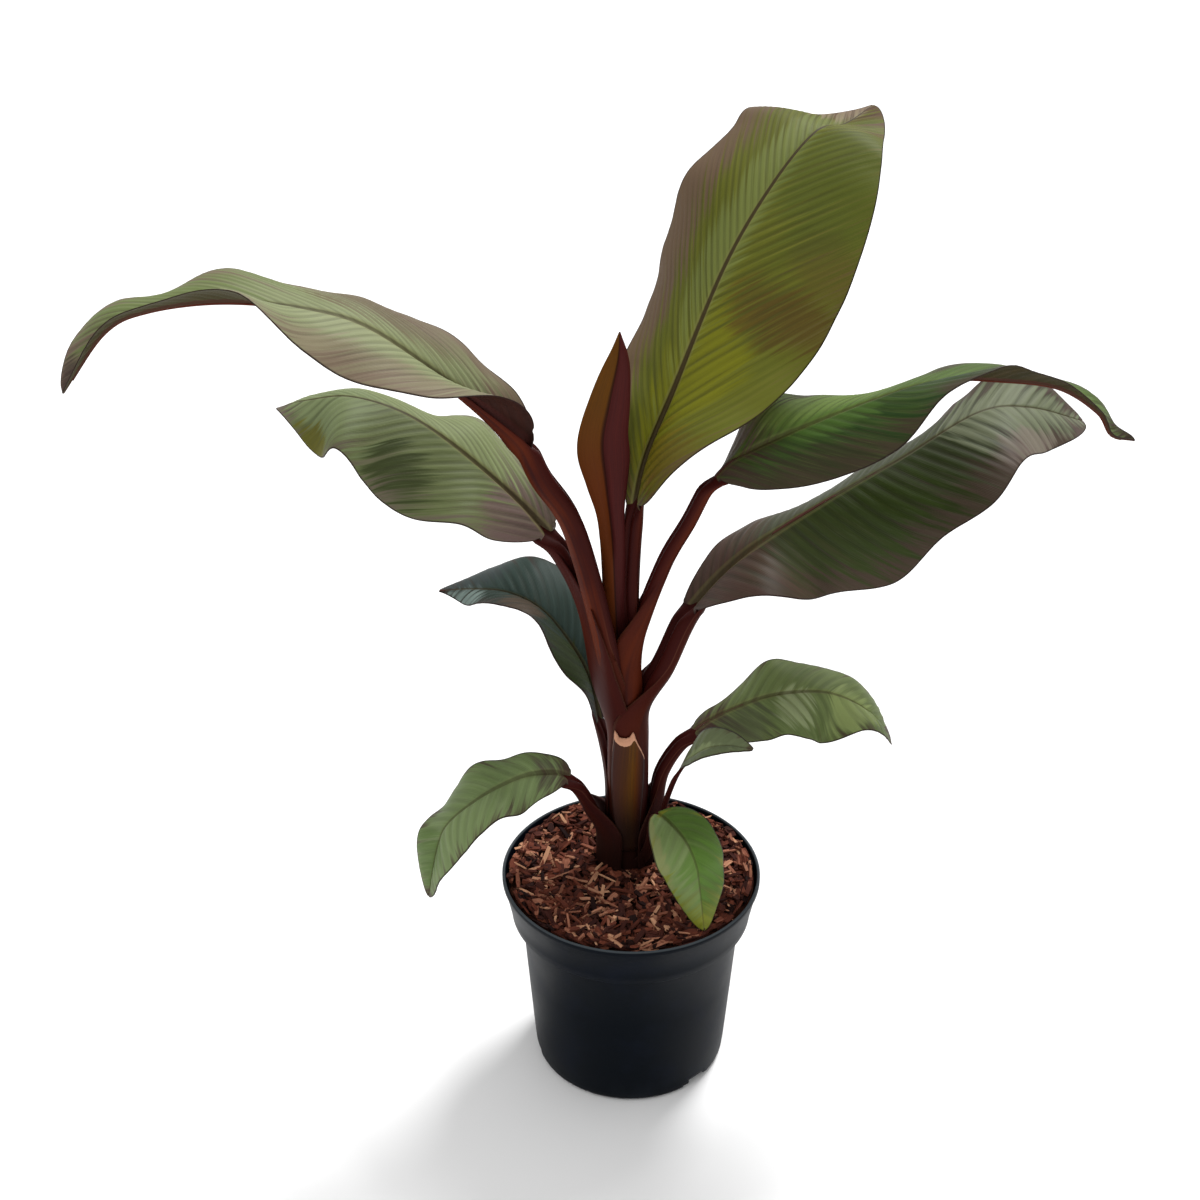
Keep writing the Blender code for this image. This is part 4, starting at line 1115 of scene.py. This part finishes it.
def make_spear(settings):
    """The furled leaf: round at its foot, then flat with a thin margin and a thick roll."""
    route = Route(SPEAR)
    start = route.at_height(SPEAR["free_from"])
    bm, places = grid(40, 170)
    wrap = []
    for vert, (x, share) in zip(bm.verts, places):
        place = share * route.length
        centre, sideways, upper = route.frame(place)
        turn = math.pi * x
        free = smooth_step(start - 0.02, start + 0.01, place)
        grown = max((place - start) / (route.length - start), 0.0)
        half = SPEAR["foot"] * (1 - free) + between(SPEAR["half_widths"], grown) * free
        across = math.cos(turn)
        roll = smooth_step(-0.25, 0.15, across)
        depth = min(SPEAR["depth"], half * STALK_OUTER_DEPTH)
        depth = depth * (THIN_SHARE + (1 - THIN_SHARE) * roll) * free + half * FOOT_ROUNDNESS * (1 - free)
        crease = FOLD_DEPTH * free * math.exp(-((across - FOLD_AT) / FOLD_WIDTH) ** 2)
        vert.co = centre + sideways * half * across + upper * (depth - crease) * math.sin(turn)
        wrap.append((across, grown))
    write_uv(bm, "wrap", wrap)
    close_tube(bm)
    return finished(bm, "furled_leaf", "spear", ["spear", "pseudostem"], spear_skin(settings))


def make_cut_sheath(settings):
    """An old sheath's base round the front of the stem, cut at a slant and torn into two horns."""
    bm, places = grid(56, 44)
    wrap = []
    for vert, (x, share) in zip(bm.verts, places):
        across = (x + 1) / 2
        inner = min(max((share - OUTER_FACE_END) / (CUT_FACE_END - OUTER_FACE_END), 0.0), 1.0)
        if share < CUT_FACE_END:
            up = min(share / OUTER_FACE_END, 1.0)
        else:
            up = 1.0 - (share - CUT_FACE_END) / (1 - CUT_FACE_END)
        mark = up if inner == 0 else 1.0 + inner if inner < 1 else 2.0 + (1 - up)
        left, right = between(SHEATH_LEFT_HEADINGS, up), between(SHEATH_RIGHT_HEADINGS, up)
        edge = smooth_step(0.0, 0.08, across) * smooth_step(1.0, 0.92, across)
        radius = SHEATH_RADII[0] + (SHEATH_RADII[1] - SHEATH_RADII[0]) * up
        radius += (0.4 - inner) * SHEATH_THICKNESS * (0.1 + 0.9 * edge)
        tear = TEAR_ROUGHNESS * noise.noise(Vector((across * 20, inner, 0.7)))
        outer_rim, inner_rim = between(SHEATH_OUTER_RIM, across), between(SHEATH_INNER_RIM, across)
        top = outer_rim + (inner_rim - outer_rim) * inner + tear
        height = SHEATH_FOOT + (top - SHEATH_FOOT) * up
        vert.co = STEM_FOOT + polar(radius, math.radians(left + (right - left) * across), height)
        wrap.append((across, mark))
    write_uv(bm, "wrap", wrap)
    close_tube(bm)
    return finished(bm, "cut_sheath_fine", "sheath", ["cut_sheath"], cut_sheath_skin(settings))


# ---------------------------------------------------------------- pot and mulch

def pot_outline():
    """The pot's (radius, height) outline, from the middle of its inner floor round the rim to its foot."""
    lip = 0.0009
    body_top, base = BODY_TOP_RADIUS + BODY_SWELL, BASE_RADIUS + BODY_SWELL
    return [
        (0.0, POT_FLOOR),
        (BASE_RADIUS - POT_WALL, POT_FLOOR),
        (BODY_TOP_RADIUS - POT_WALL, COLLAR_FOOT + POT_WALL),
        (COLLAR_FOOT_RADIUS - POT_WALL, COLLAR_FOOT + POT_WALL),
        (RIM_RADIUS - POT_WALL - 0.0004, POT_HEIGHT - 0.004),
        (RIM_RADIUS - POT_WALL, POT_HEIGHT - lip),
        (RIM_RADIUS - POT_WALL + lip, POT_HEIGHT),
        (RIM_RADIUS - lip, POT_HEIGHT),
        (RIM_RADIUS, POT_HEIGHT - lip),
        (RIM_RADIUS, POT_HEIGHT - 0.0042),
        (RIM_RADIUS - 0.0012, POT_HEIGHT - 0.0052),
        (COLLAR_FOOT_RADIUS + 0.0016, COLLAR_FOOT + 0.008),
        (COLLAR_FOOT_RADIUS + 0.0008, COLLAR_FOOT + 0.0018),
        (COLLAR_FOOT_RADIUS - 0.0006, COLLAR_FOOT + 0.0002),
        (COLLAR_FOOT_RADIUS - 0.003, COLLAR_FOOT),
        (body_top + 0.0012, COLLAR_FOOT - 0.0004),
        (body_top - 0.0002, COLLAR_FOOT - 0.0024),
        *((base + share * (body_top - base), share * COLLAR_FOOT) for share in (0.62, 0.25)),
        (base + 0.0008, 0.012),
        (base + 0.0004, 0.009),
        (base, BASE_ROUNDING),
        (base - BASE_ROUNDING * 0.2, BASE_ROUNDING * 0.5),
        (base - BASE_ROUNDING * 0.6, BASE_ROUNDING * 0.2),
        (BASE_RADIUS - BASE_ROUNDING, 0.0),
        (BASE_RADIUS - 0.012, 0.0),
        (0.0, 0.0),
    ]


def press_notch(vert):
    """Moves a vertex of the pot's foot inwards and up where a drain notch is."""
    radius = math.hypot(vert.co.x, vert.co.y)
    if radius < BASE_RADIUS - DRAIN_NOTCH_RADIUS:
        return
    turn = (math.atan2(vert.co.y, vert.co.x) - math.radians(FIRST_NOTCH_HEADING)) / (2 * math.pi)
    turn *= DRAIN_NOTCHES
    aside = (turn - round(turn)) * 2 * math.pi * radius / DRAIN_NOTCHES / DRAIN_NOTCH_SPREAD
    height = math.sqrt(max(DRAIN_NOTCH_RADIUS ** 2 - aside ** 2, 0.0))
    if vert.co.z < height:
        vert.co.x *= (BASE_RADIUS - DRAIN_NOTCH_DEPTH) / radius
        vert.co.y *= (BASE_RADIUS - DRAIN_NOTCH_DEPTH) / radius
        vert.co.z = height * DRAIN_NOTCH_ROOF


def make_pot(settings):
    """The moulded pot with its drain notches."""
    bm = turned(pot_outline(), POT_STEPS)
    for vert in bm.verts:
        press_notch(vert)
    return finished(bm, "pot_fine", "pot", ["pot"], pot_plastic(settings))


def peat_height(radius):
    """The peat's level, highest along the pot's wall."""
    return PEAT_LEVEL + PEAT_RISE_AT_WALL * smooth_step(0.03, 0.09, radius)


def make_peat():
    """The root ball's peat, uneven on top."""
    inset = POT_WALL + 2 * GAP
    edge_height = peat_height(RIM_RADIUS) - PEAT_UNDER_CHIPS
    collar_share = (edge_height - COLLAR_FOOT) / COLLAR_DEPTH
    edge_radius = COLLAR_FOOT_RADIUS + collar_share * (RIM_RADIUS - COLLAR_FOOT_RADIUS) - inset
    radii = [edge_radius * step / PEAT_RINGS for step in range(PEAT_RINGS + 1)]
    outline = [(radius, peat_height(radius) - PEAT_UNDER_CHIPS) for radius in radii]
    ledge = COLLAR_FOOT + POT_WALL + GAP
    outline += [(COLLAR_FOOT_RADIUS - inset, ledge), (BODY_TOP_RADIUS - inset, ledge),
                (BASE_RADIUS - inset, POT_FLOOR + GAP), (0.0, POT_FLOOR + GAP)]
    bm = turned(outline, PEAT_STEPS)
    for vert in bm.verts:
        if vert.co.z > SOIL_LEVEL - PEAT_TOP_DEPTH:
            vert.co.z += sum(height * noise.noise(vert.co * fineness) for height, fineness in PEAT_LUMPS)
    return finished(bm, "root_ball_fine", "mulch", ["root_ball"], peat())


def chip_mesh():
    """An empty bmesh for chips, with a tone to a vertex and a UV map for the grain."""
    bm = bmesh.new()
    bm.verts.layers.float.new("tone")
    bm.loops.layers.uv.new("grain")
    return bm


def chip_blank():
    """The plain box that every chip starts from, cut twice along its length."""
    bm = chip_mesh()
    bmesh.ops.create_cube(bm, size=1)
    lengthways = [edge for edge in bm.edges if abs(edge.verts[0].co.x - edge.verts[1].co.x) > 0.5]
    bmesh.ops.subdivide_edges(bm, edges=lengthways, cuts=2)
    mesh = bpy.data.meshes.new("chip_blank")
    bm.to_mesh(mesh)
    bm.free()
    return mesh


def add_chip(bm, blank, draw, size, place, tone):
    """One bark chip: the blank roughened, tapered, scaled and laid in place."""
    tone_layer = bm.verts.layers.float["tone"]
    uv_layer = bm.loops.layers.uv["grain"]
    first_vert, first_face = len(bm.verts), len(bm.faces)
    bm.from_mesh(blank)
    bm.verts.ensure_lookup_table()
    bm.faces.ensure_lookup_table()
    for vert in bm.verts[first_vert:]:
        end = abs(vert.co.x) * 2
        taper_y, taper_z = 1 - 0.45 * end * draw.random(), 1 - 0.5 * end * draw.random()
        vert.co.x = (vert.co.x + draw.uniform(-0.06, 0.06)) * size[0]
        vert.co.y = (vert.co.y * taper_y + draw.uniform(-0.10, 0.10)) * size[1]
        vert.co.z = (vert.co.z * taper_z + draw.uniform(-0.12, 0.12)) * size[2]
        vert[tone_layer] = tone
    shift = draw.random()
    for face in bm.faces[first_face:]:
        for loop in face.loops:
            loop[uv_layer].uv = (loop.vert.co.x + shift, loop.vert.co.y + loop.vert.co.z + shift)
    bmesh.ops.transform(bm, matrix=place, verts=bm.verts[first_vert:])


def draw_chip(draw, layer):
    """Draws one chip's size and tone: a splinter, a chunk or, near the top, a pale straw."""
    picked = draw.random()
    if picked < STRAW_SHARE and layer > STRAWS_ABOVE:
        kind = STRAW
    else:
        kind = SPLINTER if picked < SPLINTER_SHARE else CHUNK
    size = [draw.uniform(least, most) for least, most in kind["sizes"]]
    if kind is STRAW:
        return size, draw.uniform(*STRAW_TONES)
    return size, min(max(draw.gauss(*kind["tone"]), 0.0), 1.0)


def make_chips(settings):
    """Bark chips laid all over the root ball, lowest first, and turned along the wall beside it."""
    draw = random.Random(settings.seed)
    bm = chip_mesh()
    blank = chip_blank()
    for number in range(settings.chip_count):
        layer = number / settings.chip_count
        radius = MULCH_RADIUS * math.sqrt(draw.random())
        angle = draw.uniform(0, 2 * math.pi)
        spot = polar(radius, angle, 0)
        if math.hypot(spot.x - STEM_FOOT.x, spot.y - STEM_FOOT.y) < CLEAR_OF_STEM:
            continue
        (length, width, depth), tone = draw_chip(draw, layer)
        room = RIM_RADIUS - CLEAR_OF_WALL - radius
        size = (min(length, 2 * room + LENGTH_AT_WALL), width, depth)
        tilt = draw.gauss(0, TILT + TOP_TILT * layer)
        roll = draw.gauss(0, ROLL)
        spot.z = peat_height(radius) + LEAST_LIFT + MULCH_DEPTH * layer + draw.uniform(0, LIFT_SPREAD)
        by_wall = smooth_step(*WALL_ZONE, room)
        turn = draw.uniform(-1, 1) * math.pi / 2 * (1 - by_wall) + angle + math.pi / 2
        place = (Matrix.Translation(spot) @ Matrix.Rotation(turn, 4, "Z")
                 @ Matrix.Rotation(tilt, 4, "Y") @ Matrix.Rotation(roll, 4, "X"))
        add_chip(bm, blank, draw, size, place, tone)
    bpy.data.meshes.remove(blank)
    bmesh.ops.recalc_face_normals(bm, faces=bm.faces)
    chips = finished(bm, "bark_chips", "mulch", ["root_ball"], bark_skin(settings))
    chips.data.shade_flat()
    return chips


# ---------------------------------------------------------------- operators

class PieceOperator:
    """What all the piece operators share."""

    bl_options = {"REGISTER", "UNDO"}

    @staticmethod
    def settings(context):
        return context.scene.banana_plant


class BANANA_OT_make_pot(PieceOperator, bpy.types.Operator):
    """Make the moulded pot"""

    bl_idname = "banana.make_pot"
    bl_label = "Pot"

    def execute(self, context):
        make_pot(self.settings(context))
        return {"FINISHED"}


class BANANA_OT_make_mulch(PieceOperator, bpy.types.Operator):
    """Make the root ball and its bark chips"""

    bl_idname = "banana.make_mulch"
    bl_label = "Root ball and bark chips"

    def execute(self, context):
        make_peat()
        make_chips(self.settings(context))
        return {"FINISHED"}


class BANANA_OT_make_stem(PieceOperator, bpy.types.Operator):
    """Make the stem's core, the furled leaf and the cut sheath"""

    bl_idname = "banana.make_stem"
    bl_label = "Stem, furled leaf and cut sheath"

    def execute(self, context):
        make_core(self.settings(context))
        make_spear(self.settings(context))
        make_cut_sheath(self.settings(context))
        return {"FINISHED"}


class BANANA_OT_make_stalks(PieceOperator, bpy.types.Operator):
    """Make every leaf's sheath, stalk and midrib"""

    bl_idname = "banana.make_stalks"
    bl_label = "Stalks"

    def execute(self, context):
        for number, (name, leaf) in enumerate(LEAVES.items()):
            make_stalk(name, leaf, self.settings(context), number)
        return {"FINISHED"}


class BANANA_OT_make_blades(PieceOperator, bpy.types.Operator):
    """Make every leaf's blade"""

    bl_idname = "banana.make_blades"
    bl_label = "Blades"

    def execute(self, context):
        for number, (name, leaf) in enumerate(LEAVES.items()):
            make_blade(name, leaf, self.settings(context), number)
        return {"FINISHED"}


class BANANA_OT_make_stage(bpy.types.Operator):
    """Make the floor, the lights and the camera"""

    bl_idname = "banana.make_stage"
    bl_label = "Stage"

    def execute(self, context):
        scene = context.scene
        self.add_floor(scene)
        self.add_light(scene, "key_light", "SUN", SUN_PLACE, (0, 0, 0), energy=SUN_STRENGTH, angle=SUN_ANGLE)
        self.add_light(scene, "fill_light", "AREA", FILL_PLACE, FILL_TARGET, energy=FILL_POWER, shape="DISK",
                       size=FILL_SIZE)
        scene.world = bpy.data.worlds.new("studio")
        scene.world.use_nodes = True
        background = scene.world.node_tree.nodes["Background"]
        background.inputs["Color"].default_value = (1, 1, 1, 1)
        background.inputs["Strength"].default_value = WORLD_STRENGTH
        camera = bpy.data.cameras.new("camera")
        camera.lens = CAMERA_LENS
        camera.sensor_width = CAMERA_SENSOR
        eye = bpy.data.objects.new("camera", camera)
        eye.location = CAMERA_PLACE
        eye.rotation_euler = (math.radians(90 - CAMERA_DIP), 0, 0)
        scene.collection.objects.link(eye)
        scene.camera = eye
        scene.view_settings.view_transform = "Standard"
        return {"FINISHED"}

    @staticmethod
    def add_floor(scene):
        bm = bmesh.new()
        bmesh.ops.create_grid(bm, x_segments=1, y_segments=1, size=FLOOR_HALF_SIZE)
        mesh = bpy.data.meshes.new("floor")
        bm.to_mesh(mesh)
        bm.free()
        paper = Finish("floor_paper", 0.9, 0.0)
        paper.shade("Base Color", paint(246, 246, 246))
        mesh.materials.append(paper.material)
        floor = bpy.data.objects.new("floor", mesh)
        scene.collection.objects.link(floor)

    @staticmethod
    def add_light(scene, name, kind, place, target, **settings):
        """A light at a place that shines towards a target."""
        light = bpy.data.lights.new(name, kind)
        for setting, value in settings.items():
            setattr(light, setting, value)
        lamp = bpy.data.objects.new(name, light)
        lamp.location = place
        aim = Vector(target) - Vector(place)
        lamp.rotation_euler = aim.to_track_quat("-Z", "Y").to_euler()
        scene.collection.objects.link(lamp)


PIECE_OPERATORS = (BANANA_OT_make_pot, BANANA_OT_make_mulch, BANANA_OT_make_stem, BANANA_OT_make_stalks,
                   BANANA_OT_make_blades, BANANA_OT_make_stage)
LEAF_COLOUR_NAMES = ("green", "pale_sheen_green", "brown", "under")


class BANANA_PT_plant(bpy.types.Panel):
    """Lists the plant's settings and pieces"""

    bl_idname = "BANANA_PT_plant"
    bl_label = "Potted banana"
    bl_space_type = "VIEW_3D"
    bl_region_type = "UI"
    bl_category = "Banana"

    def draw(self, context):
        settings = context.scene.banana_plant
        for name in settings.bl_rna.properties.keys():
            if name not in ("rna_type", "name", "leaves"):
                self.layout.prop(settings, name)
        for leaf in settings.leaves:
            box = self.layout.box()
            box.label(text=leaf.name)
            for name in LEAF_COLOUR_NAMES:
                box.prop(leaf, name)
        for operator in PIECE_OPERATORS:
            self.layout.operator(operator.bl_idname)


CLASSES = (LeafColours, PlantSettings, *PIECE_OPERATORS, BANANA_PT_plant)


def register():
    for item in CLASSES:
        bpy.utils.register_class(item)
    bpy.types.Scene.banana_plant = bpy.props.PointerProperty(type=PlantSettings)


def unregister():
    del bpy.types.Scene.banana_plant
    for item in reversed(CLASSES):
        bpy.utils.unregister_class(item)


def add_leaf_colours(settings):
    """Fills the settings' leaf colours from LOOKS."""
    for name, look in LOOKS.items():
        leaf = settings.leaves.add()
        leaf.name = name
        for part in LEAF_COLOUR_NAMES:
            setattr(leaf, part, paint(*look[part]))


def main():
    register()
    add_leaf_colours(bpy.context.scene.banana_plant)
    for operator in PIECE_OPERATORS:
        group, action = operator.bl_idname.split(".")
        getattr(getattr(bpy.ops, group), action)()


if __name__ == "__main__":
    main()
